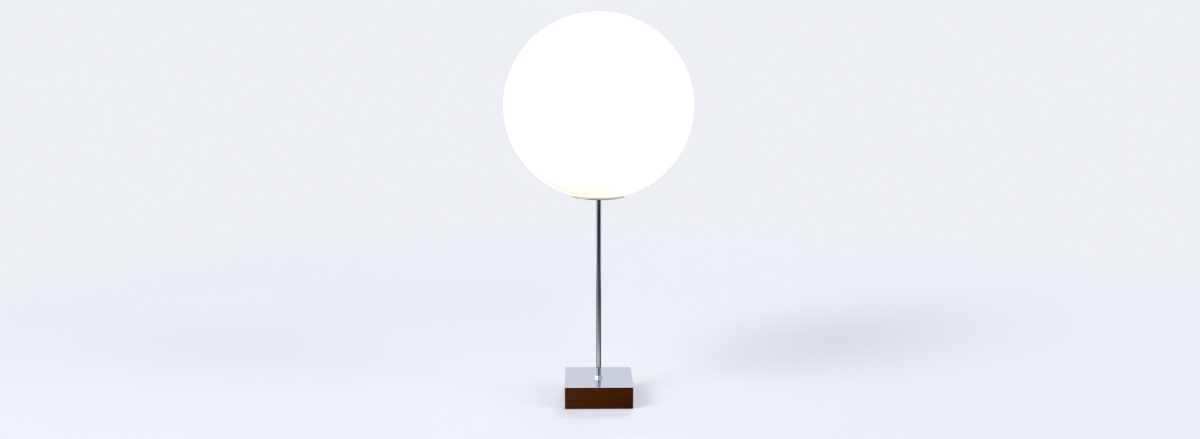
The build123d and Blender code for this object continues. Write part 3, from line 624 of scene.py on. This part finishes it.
def circular(tree, angle):
    """Nodes for the cosine and the sine of an angle."""
    kinds = ("COSINE", "SINE")
    return [add(tree, "ShaderNodeMath", {"operation": kind}, {0: angle}) for kind in kinds]


METAL = {"Metallic": 1.0}
# Bright zinc on steel: a little uneven and milky, from the bath, with faint draw marks.
zinc = surfaced("zinc_plated_steel", "#B9BEC4", "#9DA2A8", 7.0, (0.28, 0.42), 0.25, 0.004, METAL)
dressed(zinc, "bottom_plate")

tree, given, result = geometry_tree(
    "round_the_axis",
    {
        "Piece": "Object",
        "Count": "Int",
        "Radius": "Float",
        "Start": "Float",
        "Spread": "Float",
        "Seed": "Int",
    },
)
index = add(tree, "GeometryNodeInputIndex")
share = add(tree, "ShaderNodeMath", {"operation": "DIVIDE"}, {0: index, 1: given["Count"]})
turn = add(
    tree,
    "ShaderNodeMath",
    {"operation": "MULTIPLY_ADD"},
    {0: share, 1: math.tau, 2: given["Start"]},
)
across, along = circular(tree, turn)
spoke = add(tree, "ShaderNodeCombineXYZ", None, {0: across, 1: along})
reach = add(
    tree, "ShaderNodeVectorMath", {"operation": "SCALE"}, {0: spoke, "Scale": given["Radius"]}
)
points = add(tree, "GeometryNodePoints", None, {"Count": given["Count"], "Position": reach})
chance = add(
    tree,
    "FunctionNodeRandomValue",
    {"data_type": "FLOAT"},
    {2: -1.0, 3: 1.0, "Seed": given["Seed"]},
)
swing = add(
    tree,
    "ShaderNodeMath",
    {"operation": "MULTIPLY_ADD"},
    {0: chance.outputs[1], 1: given["Spread"], 2: turn},
)
facing = add(tree, "ShaderNodeCombineXYZ", None, {2: swing})
shape = add(tree, "GeometryNodeObjectInfo", None, {"Object": given["Piece"]})
ring = add(
    tree,
    "GeometryNodeInstanceOnPoints",
    None,
    {"Points": points, "Instance": shape.outputs["Geometry"], "Rotation": facing},
)
ended(tree, ring, given, result)
round_the_axis = tree


def ringed(name, piece, count, radius, start, finish, spread=0.0, seed=0):
    """Copies of a piece round the lamp's axis: radius in mm, start and spread in degrees."""
    made = grown(
        round_the_axis,
        name,
        {
            "Piece": piece,
            "Count": count,
            "Radius": radius * MM,
            "Start": math.radians(start),
            "Spread": math.radians(spread),
            "Seed": seed,
            "Finish": finish,
        },
    )
    bpy.data.objects.remove(piece)
    return made


screw = slotted_screw(
    "bottom_screw",
    SCREW_HEAD,
    SCREW_HEAD_HIGH,
    SCREW_SHANK,
    SCREW_LONG,
    SCREW_PITCH,
    SLOT_WIDE,
    SCREW_HEAD_HIGH / 2,
)
at = Matrix.Translation((0, 0, SCREW_UNDER * MM))
screw.data.transform(at @ Matrix.Rotation(math.pi, 4, "X"))
screws = ringed("bottom_screws_zinc", screw, 4, SCREW_CIRCLE, 45, zinc, spread=70, seed=3)
finished(screws, zinc, "stand", "zinc_steel", "bottom_screws")

# ---- Corner brackets ---------------------------------------------------------------------------
# Angles bent from zinc-plated strip and spot-welded in the box's corners. Their flat legs are
# tapped for the screws.


def smoothed(node, name, sharp=35):
    """A copy of a modelled node that shades smooth on its curves and flat on its flats."""
    piece = copied(node, name, sharp)
    weighed = piece.modifiers.new("flats", "WEIGHTED_NORMAL")
    weighed.keep_sharp = True
    return applied(piece)


def reworked(node, word, finish, body, slot, sharp=35):
    """A modelled node as a smooth piece, named after the node and a word for its finish."""
    finished(smoothed(node, f"{node}_{word}", sharp), finish, body, slot, node)


reworked("corner_brackets", "zinc", zinc, "stand", "zinc_steel")

# ---- Base box ----------------------------------------------------------------------------------
# Sheet steel folded to a square box, its corners welded and ground, then polished and chromed.
# The plating is a mirror with a faint unevenness of the sheet under it.

# Bright chromium over nickel: a cool blue-white mirror, wiped with a cloth, so that only its
# gloss drifts.
chrome = surfaced("polished_chrome", "#D4D8E2", "#CDD1DB", 14.0, (0.035, 0.075), 0.5, 0.0006, METAL)
reworked("base_box", "chrome", chrome, "stand", "polished_chrome")

# ---- Iron weight, its washer and nut -----------------------------------------------------------
# A sand-cast iron block, dipped in black primer, is drawn up under the box's top by a washer and
# a nut on the pole's end. The sand leaves a coarse skin.
iron = surfaced(
    "sand_cast_iron", "#2C2D2F", "#3B3836", 6.0, (0.6, 0.85), 0.9, 0.16, {"Metallic": 0.2}
)
reworked("ballast", "iron", iron, "stand", "cast_iron")
reworked("ballast_washer", "zinc", zinc, "stand", "zinc_steel")
reworked("pole_lower_nut", "zinc", zinc, "stand", "zinc_steel", 20)

# ---- Pole and the nut at its foot --------------------------------------------------------------
# Thin steel tube, ten millimetres across, polished and chromed, with a fine thread cut on both
# ends. A chromed hexagon nut tightens it down on the box.
POLE_RADIUS = 5.0
POLE_BORE = 3.8
POLE_FOOT = 17.7
POLE_TOP = 427.1
THREAD_PITCH = 1.0
THREAD_DEPTH = 0.45
THREAD_LOW = 46.0
THREAD_HIGH = 401.0
CHAMFER = 0.4
# heights over the lower thread; the short steps keep the mirror straight up to both threads
PLAIN_STEPS = [0.2, 0.5, *(30 * k for k in range(1, 12)), 354.5, 354.8]


def threads(radius, low, high, pitch, depth, per_turn=6):
    """Outline points of a thread that fades out over its first and last turn."""
    count = round((high - low) / pitch * per_turn)
    points = []
    for k in range(count + 1):
        z = low + (high - low) * k / count
        fade = min(1, (z - low) / pitch, (high - z) / pitch)
        points.append((radius, z, depth * max(fade, 0)))
    return points


outline = [(POLE_BORE, POLE_FOOT), (POLE_RADIUS - CHAMFER, POLE_FOOT)]
outline += threads(POLE_RADIUS, POLE_FOOT + CHAMFER, THREAD_LOW, THREAD_PITCH, THREAD_DEPTH)
outline += [(POLE_RADIUS, THREAD_LOW + step) for step in PLAIN_STEPS]
outline += threads(POLE_RADIUS, THREAD_HIGH, POLE_TOP - CHAMFER, THREAD_PITCH, THREAD_DEPTH)
outline += [(POLE_RADIUS - CHAMFER, POLE_TOP), (POLE_BORE, POLE_TOP)]
pole = spun("pole_chrome", outline, 64, THREAD_PITCH)
finished(pole, chrome, "stand", "polished_chrome", "pole")
reworked("pole_foot_nut", "chrome", chrome, "stand", "polished_chrome", 20)

# ---- Cord bushing ------------------------------------------------------------------------------
# Black nylon, injection-moulded, snapped through the back wall. Its face has a fine spark-eroded
# grain and a soft shine.
nylon = surfaced("moulded_black_nylon", "#141416", "#1D1D20", 3.0, (0.38, 0.5), 0.3, 0.012)
reworked("cord_bushing", "nylon", nylon, "stand", "black_nylon", 30)

# ---- Wire connectors and leads -----------------------------------------------------------------
# Two leads with PVC insulation, one black and one white, run up inside the pole. Twist-on
# connectors of orange polypropylene, lying on the bottom plate, join them to the supply.
polypropylene = surfaced("orange_polypropylene", "#D9772C", "#C96A22", 5.0, (0.4, 0.5), 0.4, 0.01)
black_pvc = surfaced("black_pvc", "#18181A", "#222225", 4.0, (0.35, 0.45), 0.5, 0.006)
white_pvc = surfaced("white_pvc", "#E4E2DB", "#D8D5CC", 4.0, (0.35, 0.45), 0.5, 0.006)
for node, finish, slot in (
    ("wire_connectors", polypropylene, "connector_plastic"),
    ("line_lead", black_pvc, "black_pvc"),
    ("neutral_lead", white_pvc, "white_pvc"),
):
    reworked(node, "plastic", finish, "stand", slot)

# ---- Seat --------------------------------------------------------------------------------------
# Sheet steel pressed to a shallow dish with a turned-down rim and a raised middle, then chromed.
# A brass boss is brazed on it, and a zinc-plated nut locks it on the pole.
brass = surfaced("turned_brass", "#D2AC5C", "#B98E42", 6.0, (0.14, 0.26), 0.3, 0.003, METAL)
# The dish is brushed before it is plated, so it takes up the glow of the glass as a soft sheen.
satin = surfaced("satin_chrome", "#EFEBEC", "#E6E2E4", 9.0, (0.34, 0.42), 0.3, 0.002, METAL)
reworked("globe_seat", "chrome", satin, "stand", "satin_chrome")
reworked("seat_hub", "brass", brass, "stand", "yellow_brass")
reworked("seat_locknut", "zinc", zinc, "stand", "zinc_steel", 20)

# ---- Gasket ------------------------------------------------------------------------------------
# A flat ring punched from silicone sheet lies on the dish, under the ground edge of the glass,
# and keeps the two apart.
cloudy = {"Subsurface Weight": 0.3, "Subsurface Scale": 0.001}
silicone = surfaced("silicone_sheet", "#D6D5CF", "#C9C8C2", 5.0, (0.45, 0.6), 0.4, 0.01, cloudy)
reworked("globe_gasket", "silicone", silicone, "stand", "silicone")

# ---- Spring fingers and their rivets -----------------------------------------------------------
# Three fingers, blanked and bent from spring steel, steady the mouth of the globe from inside.
# Each is held to the dish by a domed steel rivet.
FINGERS = 3
FINGER_FIRST = -90
FINGER_WIDE = 12.0
FINGER_SHEET = 0.8
FINGER_TIP_ROUND = 3.5
FINGER_BEND = 2.0
FINGER_EDGE = 0.12  # the blanked edges are tumbled smooth
FINGER_PATH = [(38.1, 426.9), (43.6, 413.9), (42.0, 405.9), (28.0, 405.9)]
FINGER_STEP = 0.9
FINGER_COLUMNS = 10
RIVET_AT = 35.0
RIVET_HEAD = 2.8
RIVET_SHANK = 1.5
RIVET_DOME = 1.5
RIVET_RIM = 0.15  # upright part of the head below its dome
RIVET_TAIL = 1.0
RIVET_TAIL_EDGE = 0.3
DISH_FACE = 405.9
DISH_SHEET = 1.2


def rounded(points, radius, steps=8):
    """A line through points in mm, with its corners rounded."""
    line = [Vector(points[0])]
    for before, corner, after in zip(points, points[1:], points[2:]):
        corner = Vector(corner)
        into = (Vector(before) - corner).normalized()
        out = (Vector(after) - corner).normalized()
        half = into.angle(out) / 2
        reach = radius / math.tan(half)
        middle = corner + (into + out).normalized() * radius / math.sin(half)
        start = corner + into * reach - middle
        end = corner + out * reach - middle
        for k in range(steps + 1):
            share = k / steps
            line.append(middle + start.slerp(end, share))
    return line + [Vector(points[-1])]


def softened(piece, width):
    """The piece with its sharp edges rounded off, by a width in mm."""
    soft = piece.modifiers.new("edges", "BEVEL")
    soft.width = width * MM
    soft.segments = 2
    soft.limit_method = "ANGLE"
    return applied(piece)


# Hardened strip, polished before it was bent: a straw-grey tint, with lines along the strip.
spring = surfaced(
    "spring_steel", "#A8A59C", "#8F8C86", 5.0, (0.18, 0.3), 0.35, 0.004, METAL, (1, 1, 0.15)
)
line = []
smooth = rounded(FINGER_PATH, FINGER_BEND)
for here, there in zip(smooth, smooth[1:]):
    pieces = max(1, round((there - here).length / FINGER_STEP))
    line += [here.lerp(there, k / pieces) for k in range(pieces)]
line.append(smooth[-1])
bm = bmesh.new()
rows = []
gone = 0.0
for k, (x, z) in enumerate(line):
    gone += (line[k] - line[k - 1]).length if k else 0
    short = max(FINGER_TIP_ROUND - gone, 0)
    narrow = FINGER_TIP_ROUND - math.sqrt(FINGER_TIP_ROUND**2 - short**2)
    half = FINGER_WIDE / 2 - narrow
    across = [half * (2 * c / FINGER_COLUMNS - 1) for c in range(FINGER_COLUMNS + 1)]
    rows.append([bm.verts.new((x, y, z)) for y in across])
for low, high in zip(rows, rows[1:]):
    for c in range(FINGER_COLUMNS):
        bm.faces.new((low[c], low[c + 1], high[c + 1], high[c]))
finger = placed("finger", bm, 60, Matrix.Scale(MM, 4))
wall = finger.modifiers.new("sheet", "SOLIDIFY")
wall.thickness = FINGER_SHEET * MM
wall.offset = 1.0
finger = softened(finger, FINGER_EDGE)
fingers = ringed("globe_fingers_spring", finger, FINGERS, 0, FINGER_FIRST, spring)
finished(fingers, spring, "stand", "spring_steel", "globe_fingers")

dome = [math.radians(90 * k / 10) for k in range(11)]
head_z = DISH_FACE + FINGER_SHEET
tail_z = DISH_FACE - DISH_SHEET
outline = [(0, tail_z - RIVET_TAIL), (RIVET_HEAD - RIVET_TAIL_EDGE, tail_z - RIVET_TAIL)]
outline += [(RIVET_HEAD, tail_z - RIVET_TAIL + RIVET_TAIL_EDGE), (RIVET_HEAD, tail_z)]
outline += [(RIVET_SHANK, tail_z), (RIVET_SHANK, head_z), (RIVET_HEAD, head_z)]
rise = RIVET_DOME - RIVET_RIM
outline += [
    (RIVET_HEAD * math.cos(a), head_z + RIVET_RIM + rise * math.sin(a)) for a in dome[:-1]
]
outline.append((0, head_z + RIVET_DOME))
rivet = spun("rivet", outline, 32, closed=False)
rivets = ringed("finger_rivets_spring", rivet, FINGERS, RIVET_AT, FINGER_FIRST, spring)
finished(rivets, spring, "stand", "spring_steel", "finger_rivets")

# ---- Lampholder --------------------------------------------------------------------------------
# A spun brass cup and a drawn brass shell with a bead rolled round its mouth. A grub screw keeps
# the cup from turning on the pole, and a sleeve of pressed fibre keeps the shell off the live
# parts. Inside sits a glazed ceramic block with two terminals, a screw shell and a contact.
for node in ("socket_cup", "socket_shell", "centre_contact"):
    reworked(node, "brass", brass, "stand", "yellow_brass")

# Nickel-plated steel screws: bright, a little warm.
nickel = surfaced("nickel_plated_steel", "#C3BDB1", "#ACA69B", 3.0, (0.2, 0.3), 0.2, 0.003, METAL)
TERMINAL_Z = 442.85
TERMINAL_SIZES = (6.4, 1.9, 3.2, 6.0, 0.6)  # head, its height, shank, length and pitch
TERMINAL_SLOT_DEEP = 0.95
POCKET_FLOOR = 10.3
for node, side, finish, slot in (
    ("line_terminal", 1, brass, "yellow_brass"),
    ("neutral_terminal", -1, nickel, "steel_screw"),
):
    terminal = slotted_screw(node + "_screw", *TERMINAL_SIZES, SLOT_WIDE, TERMINAL_SLOT_DEEP)
    facing = Matrix.Rotation(math.radians(90 * side), 4, "Y")
    at = Matrix.Translation((side * POCKET_FLOOR * MM, 0, TERMINAL_Z * MM))
    terminal.data.transform(at @ facing)
    finished(terminal, finish, "stand", slot, node)
reworked("socket_set_screw", "nickel", nickel, "stand", "steel_screw")

# Vulcanised fibre: tan card with short fibres. Glazed steatite: ivory with fine specks.
fibre = surfaced("vulcanised_fibre", "#B9976B", "#A07D52", 1.6, (0.6, 0.75), 0.35, 0.02)
steatite = surfaced("glazed_steatite", "#ECE7DA", "#DFD8C6", 2.5, (0.12, 0.22), 0.6, 0.006)
reworked("socket_liner", "fibre", fibre, "stand", "fibre")
reworked("socket_block", "steatite", steatite, "stand", "porcelain")

# Bare aluminium, drawn and then rolled to the coarse round thread of a 26 mm lamp cap.
aluminium = surfaced(
    "rolled_aluminium", "#D9DADB", "#C6C8CA", 3.0, (0.22, 0.36), 0.25, 0.004, METAL
)
CAP_PITCH = 3.63
CAP_DEPTH = 0.8
THREAD_ENDS = 470.9  # both rolled threads end at this height
SHELL_RADIUS = 13.9
SHELL_WALL = 0.6
SHELL_FOOT = 448.6
SHELL_TOP = 471.6
SHELL_THREAD = 450.6
SHELL_HOLE = 6.0  # lets the centre contact through


def rolled_wall(radius, wall, low, high, thread_low, thread_high):
    """Outline of a thin shell with a rolled thread between two heights, inside and outside."""
    ribs = threads(radius, thread_low, thread_high, CAP_PITCH, CAP_DEPTH, 12)
    outside = [(radius, low), *ribs, (radius, high)]
    inside = [(r - wall, *rest) for r, *rest in reversed(outside)]
    return outside + inside


outline = rolled_wall(SHELL_RADIUS, SHELL_WALL, SHELL_FOOT, SHELL_TOP, SHELL_THREAD, THREAD_ENDS)
floor_top = SHELL_FOOT + SHELL_WALL
outline[-1] = (SHELL_RADIUS - SHELL_WALL, floor_top)
outline += [(SHELL_HOLE, floor_top), (SHELL_HOLE, SHELL_FOOT)]
shell = spun("screw_shell_aluminium", outline, 72, CAP_PITCH, rolled=True)
finished(shell, aluminium, "stand", "bare_aluminium", "screw_shell")

# ---- Bulb --------------------------------------------------------------------------------------
# A pear-shaped bulb, frosted inside, cemented in an aluminium screw cap. Black glass insulates
# the cap's foot, where a drop of solder makes the contact. Inside, a clear stem carries two
# nickel wires and a coil of tungsten between them.
CAP_RADIUS = 13.0
CAP_WALL = 0.5
CAP_FOOT = 459.2
CAP_TOP = 476.7
CAP_THREAD = 459.9
SOLDER = [(0, 451.9), (1.6, 451.95), (3.0, 452.15), (3.9, 452.5), (4.35, 452.95), (4.6, 453.3)]
SOLDER += [(4.8, 453.4), (4.8, 453.7), (0, 453.7)]

outline = rolled_wall(CAP_RADIUS, CAP_WALL, CAP_FOOT, CAP_TOP, CAP_THREAD, THREAD_ENDS)
inside = CAP_RADIUS - CAP_WALL
outline[-1] = (inside, CAP_FOOT)
outline += [(inside - CAP_WALL, CAP_FOOT), (inside - CAP_WALL, CAP_FOOT - CAP_WALL)]
outline.append((inside, CAP_FOOT - CAP_WALL))
cap = spun("bulb_cap_aluminium", outline, 72, CAP_PITCH, rolled=True)
finished(cap, aluminium, "bulb", "bare_aluminium", "bulb_cap")

black_glass = surfaced(
    "black_glass", "#0E0D12", "#17141C", 4.0, (0.06, 0.12), 0.6, 0.01, {"IOR": 1.52}
)
reworked("bulb_insulator", "glass", black_glass, "bulb", "black_glass")

# Tin solder, frozen as it flowed: a low dull dome with a ring round its foot.
solder = surfaced("tin_solder", "#B7B9BC", "#94979B", 1.5, (0.25, 0.4), 0.8, 0.05, METAL)
contact = spun("bulb_contact_solder", SOLDER, 40, closed=False, sharp=50)
finished(contact, solder, "bulb", "solder", "bulb_contact")

# Soda-lime glass etched inside: white when the lamp is lit, with a clear hard outer surface.
lit = {"IOR": 1.5, "Transmission Weight": 0.35, "Coat Weight": 0.5}
lit |= {"Emission Color": linear("#FFEFD2"), "Emission Strength": 0.4}
frosted = surfaced("frosted_glass", "#FFFAF0", "#FBF3E4", 8.0, (0.16, 0.2), 0.5, 0.002, lit)
reworked("bulb_glass", "frosted", frosted, "bulb", "frosted_glass", 60)

clear = {"IOR": 1.56, "Transmission Weight": 1.0}
clear_glass = surfaced(
    "clear_lead_glass", "#F2F6F4", "#E9F0ED", 6.0, (0.01, 0.04), 2.0, 0.01, clear
)
reworked("bulb_stem", "glass", clear_glass, "bulb", "clear_glass")
reworked("bulb_support_wires", "nickel", nickel, "bulb", "nickel_wire")

# Tungsten at work: it glows yellow-white. The real wire is 0.05 mm thick in some forty turns a
# centimetre, drawn here thicker and with fewer turns so that the coil shows.
hot = {**METAL, "Emission Color": linear("#FFD9A0"), "Emission Strength": 6.0}
tungsten = surfaced("tungsten_wire", "#8D8A85", "#77746F", 1.0, (0.3, 0.4), 0.1, 0.002, hot)

lengths = dict.fromkeys(("Length", "Sag", "Height", "Coil Radius", "Wire Radius"), "Float")
tree, given, result = geometry_tree("sagging_coil", {**lengths, "Turns": "Int", "Steps": "Int"})
count = add(
    tree, "ShaderNodeMath", {"operation": "MULTIPLY"}, {0: given["Turns"], 1: given["Steps"]}
)
start = add(tree, "GeometryNodeMeshLine", None, {"Count": count})
index = add(tree, "GeometryNodeInputIndex")
share = add(tree, "ShaderNodeMath", {"operation": "DIVIDE"}, {0: index, 1: count})
signed = add(tree, "ShaderNodeMath", {"operation": "SUBTRACT"}, {0: share, 1: 0.5})
x = add(tree, "ShaderNodeMath", {"operation": "MULTIPLY"}, {0: signed, 1: given["Length"]})
squared = add(tree, "ShaderNodeMath", {"operation": "MULTIPLY"}, {0: signed, 1: signed})
rise = add(tree, "ShaderNodeMath", {"operation": "MULTIPLY_ADD"}, {0: squared, 1: 4.0, 2: -1.0})
dip = add(
    tree,
    "ShaderNodeMath",
    {"operation": "MULTIPLY_ADD"},
    {0: rise, 1: given["Sag"], 2: given["Height"]},
)
turns = add(tree, "ShaderNodeMath", {"operation": "MULTIPLY"}, {0: share, 1: given["Turns"]})
turn = add(tree, "ShaderNodeMath", {"operation": "MULTIPLY"}, {0: turns, 1: math.tau})
cosine, sine = circular(tree, turn)
y = add(tree, "ShaderNodeMath", {"operation": "MULTIPLY"}, {0: sine, 1: given["Coil Radius"]})
z = add(
    tree,
    "ShaderNodeMath",
    {"operation": "MULTIPLY_ADD"},
    {0: cosine, 1: given["Coil Radius"], 2: dip},
)
coiled = add(
    tree,
    "GeometryNodeSetPosition",
    None,
    {"Geometry": start, "Position": add(tree, "ShaderNodeCombineXYZ", None, {0: x, 1: y, 2: z})},
)
wire = add(tree, "GeometryNodeMeshToCurve", None, {"Mesh": coiled})
drawn = tube(tree, wire, 6, given["Wire Radius"], True)
ended(tree, drawn, given, result)
filament = grown(
    tree,
    "bulb_filament_coil",
    {
        "Length": 23.4 * MM,
        "Sag": 3.0 * MM,
        "Height": 527.05 * MM,
        "Coil Radius": 0.52 * MM,
        "Wire Radius": 0.12 * MM,
        "Turns": 40,
        "Steps": 12,
        "Finish": tungsten,
    },
    sharp=80,
)
finished(filament, tungsten, "bulb", "tungsten", "bulb_filament")

# ---- Globe -------------------------------------------------------------------------------------
# Mouth-blown opal glass ball, a little flatter than round, cut off at its neck and ground flat.
# Its white layer spreads the bulb's light, so that when lit it looks evenly white all over.
GLOBE_WIDE = 355.5
GLOBE_SQUASH = 0.98
GLOBE_MIDDLE = 570.36
GLOBE_WALL = 3.0
MOUTH_RADIUS = 44.0
GROUND_RADIUS = 51.5
MOUTH_SOFT = 0.35  # the ground edges are stoned off by hand
FOOT_SHADE_FROM = 399  # painted shade: warmest here, and gone by the next height
FOOT_SHADE_TO = 440

lengths = dict.fromkeys(("Width", "Squash", "Middle", "Wall", "Mouth", "Ground"), "Float")
tree, given, result = geometry_tree("blown_ball", {**lengths, "Columns": "Int", "Rows": "Int"})
columns = add(tree, "ShaderNodeMath", {"operation": "ADD"}, {0: given["Columns"], 1: 1.0})
all_rows = add(tree, "ShaderNodeMath", {"operation": "MULTIPLY"}, {0: given["Rows"], 1: 2.0})
grid = add(
    tree,
    "GeometryNodeMeshGrid",
    None,
    {"Size X": 1.0, "Size Y": 1.0, "Vertices X": columns, "Vertices Y": all_rows},
)
flat = add(tree, "ShaderNodeSeparateXYZ", None, {0: add(tree, "GeometryNodeInputPosition")})
turn = add(tree, "ShaderNodeMath", {"operation": "MULTIPLY"}, {0: flat.outputs[0], 1: math.tau})
last_row = add(tree, "ShaderNodeMath", {"operation": "SUBTRACT"}, {0: all_rows, 1: 1.0})
up = add(tree, "ShaderNodeMath", {"operation": "ADD"}, {0: flat.outputs[1], 1: 0.5})
row_raw = add(tree, "ShaderNodeMath", {"operation": "MULTIPLY"}, {0: up, 1: last_row})
row = add(tree, "ShaderNodeMath", {"operation": "ROUND"}, {0: row_raw})
half_rows = add(tree, "ShaderNodeMath", {"operation": "SUBTRACT"}, {0: given["Rows"], 1: 0.5})
outer = add(tree, "ShaderNodeMath", {"operation": "GREATER_THAN"}, {0: row, 1: half_rows})
row_on = add(tree, "ShaderNodeMath", {"operation": "MULTIPLY"}, {0: outer, 1: given["Rows"]})
row_here = add(tree, "ShaderNodeMath", {"operation": "SUBTRACT"}, {0: row, 1: row_on})
steps = add(tree, "ShaderNodeMath", {"operation": "SUBTRACT"}, {0: given["Rows"], 1: 1.0})
share = add(tree, "ShaderNodeMath", {"operation": "DIVIDE"}, {0: row_here, 1: steps})
inner_share = add(tree, "ShaderNodeMath", {"operation": "SUBTRACT"}, {0: 1.0, 1: share})
above = add(
    tree, "ShaderNodeMix", {"data_type": "FLOAT"}, {0: outer, 2: inner_share, 3: share}
)
radius = add(tree, "ShaderNodeMath", {"operation": "MULTIPLY"}, {0: given["Width"], 1: 0.5})
thin = add(tree, "ShaderNodeMix", {"data_type": "FLOAT"}, {0: outer, 2: given["Wall"], 3: 0.0})
wide = add(tree, "ShaderNodeMath", {"operation": "SUBTRACT"}, {0: radius, 1: thin})
tall_full = add(tree, "ShaderNodeMath", {"operation": "MULTIPLY"}, {0: radius, 1: given["Squash"]})
tall = add(tree, "ShaderNodeMath", {"operation": "SUBTRACT"}, {0: tall_full, 1: thin})
mouth = add(
    tree, "ShaderNodeMix", {"data_type": "FLOAT"}, {0: outer, 2: given["Mouth"], 3: given["Ground"]}
)
mouth_share = add(tree, "ShaderNodeMath", {"operation": "DIVIDE"}, {0: mouth, 1: wide})
first = add(tree, "ShaderNodeMath", {"operation": "ARCSINE"}, {0: mouth_share})
sweep = add(tree, "ShaderNodeMath", {"operation": "SUBTRACT"}, {0: math.pi, 1: first})
angle = add(tree, "ShaderNodeMath", {"operation": "MULTIPLY_ADD"}, {0: above, 1: sweep, 2: first})
cosine, sine = circular(tree, angle)
away = add(tree, "ShaderNodeMath", {"operation": "MULTIPLY"}, {0: sine, 1: wide})
drop = add(tree, "ShaderNodeMath", {"operation": "MULTIPLY"}, {0: cosine, 1: tall})
z = add(tree, "ShaderNodeMath", {"operation": "SUBTRACT"}, {0: given["Middle"], 1: drop})
turn_cosine, turn_sine = circular(tree, turn)
x = add(tree, "ShaderNodeMath", {"operation": "MULTIPLY"}, {0: away, 1: turn_cosine})
y = add(tree, "ShaderNodeMath", {"operation": "MULTIPLY"}, {0: away, 1: turn_sine})
blown = add(
    tree,
    "GeometryNodeSetPosition",
    None,
    {"Geometry": grid, "Position": add(tree, "ShaderNodeCombineXYZ", None, {0: x, 1: y, 2: z})},
)
closed = add(tree, "GeometryNodeMergeByDistance", None, {"Geometry": blown, "Distance": 1e-6})
ended(tree, closed, given, result)
blown_ball = tree

# Cased opal glass, fire-polished: white, hard and glossy. Lit from inside, it is brightest over
# most of the ball. Round the mouth its glow and its own colour are painted warmer, as painted
# shade where the seat and the lampholder shade the glass.
lit = {"IOR": 1.5, "Emission Strength": 0.77}
opal = surfaced("opal_glass", "#A4A29D", "#9F9D98", 60.0, (0.07, 0.11), 30.0, 0.02, lit)
tree = opal.node_tree
place = add(tree, "ShaderNodeTexCoord").outputs["Object"]
height = add(tree, "ShaderNodeSeparateXYZ", None, {0: place})
# painted shade: the glow and the glass's own colour turn warmer round the mouth
ends = {"From Min": FOOT_SHADE_FROM * MM, "From Max": FOOT_SHADE_TO * MM}
foot_shade = add(tree, "ShaderNodeMapRange", SMOOTHLY, {"Value": height.outputs[2], **ends})
shader = tree.nodes["Principled BSDF"]
plain = shader.inputs["Base Color"].links[0].from_socket
glow = add(tree, "ShaderNodeMix", COLOURS, {0: foot_shade, 6: linear("#FFF8E0"), 7: linear("#FFFDFA")})
shaded_base_colour = add(tree, "ShaderNodeMix", COLOURS, {0: foot_shade, 6: linear("#A39F78"), 7: plain})
tree.links.new(glow.outputs[2], shader.inputs["Emission Color"])
tree.links.new(shaded_base_colour.outputs[2], shader.inputs["Base Color"])

ball = grown(
    blown_ball,
    "globe_opal",
    {
        "Width": GLOBE_WIDE * MM,
        "Squash": GLOBE_SQUASH,
        "Middle": GLOBE_MIDDLE * MM,
        "Wall": GLOBE_WALL * MM,
        "Mouth": MOUTH_RADIUS * MM,
        "Ground": GROUND_RADIUS * MM,
        "Columns": 160,
        "Rows": 80,
        "Finish": opal,
    },
)
finished(softened(ball, MOUTH_SOFT), opal, "globe", "opal_glass", "globe")

low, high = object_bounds()
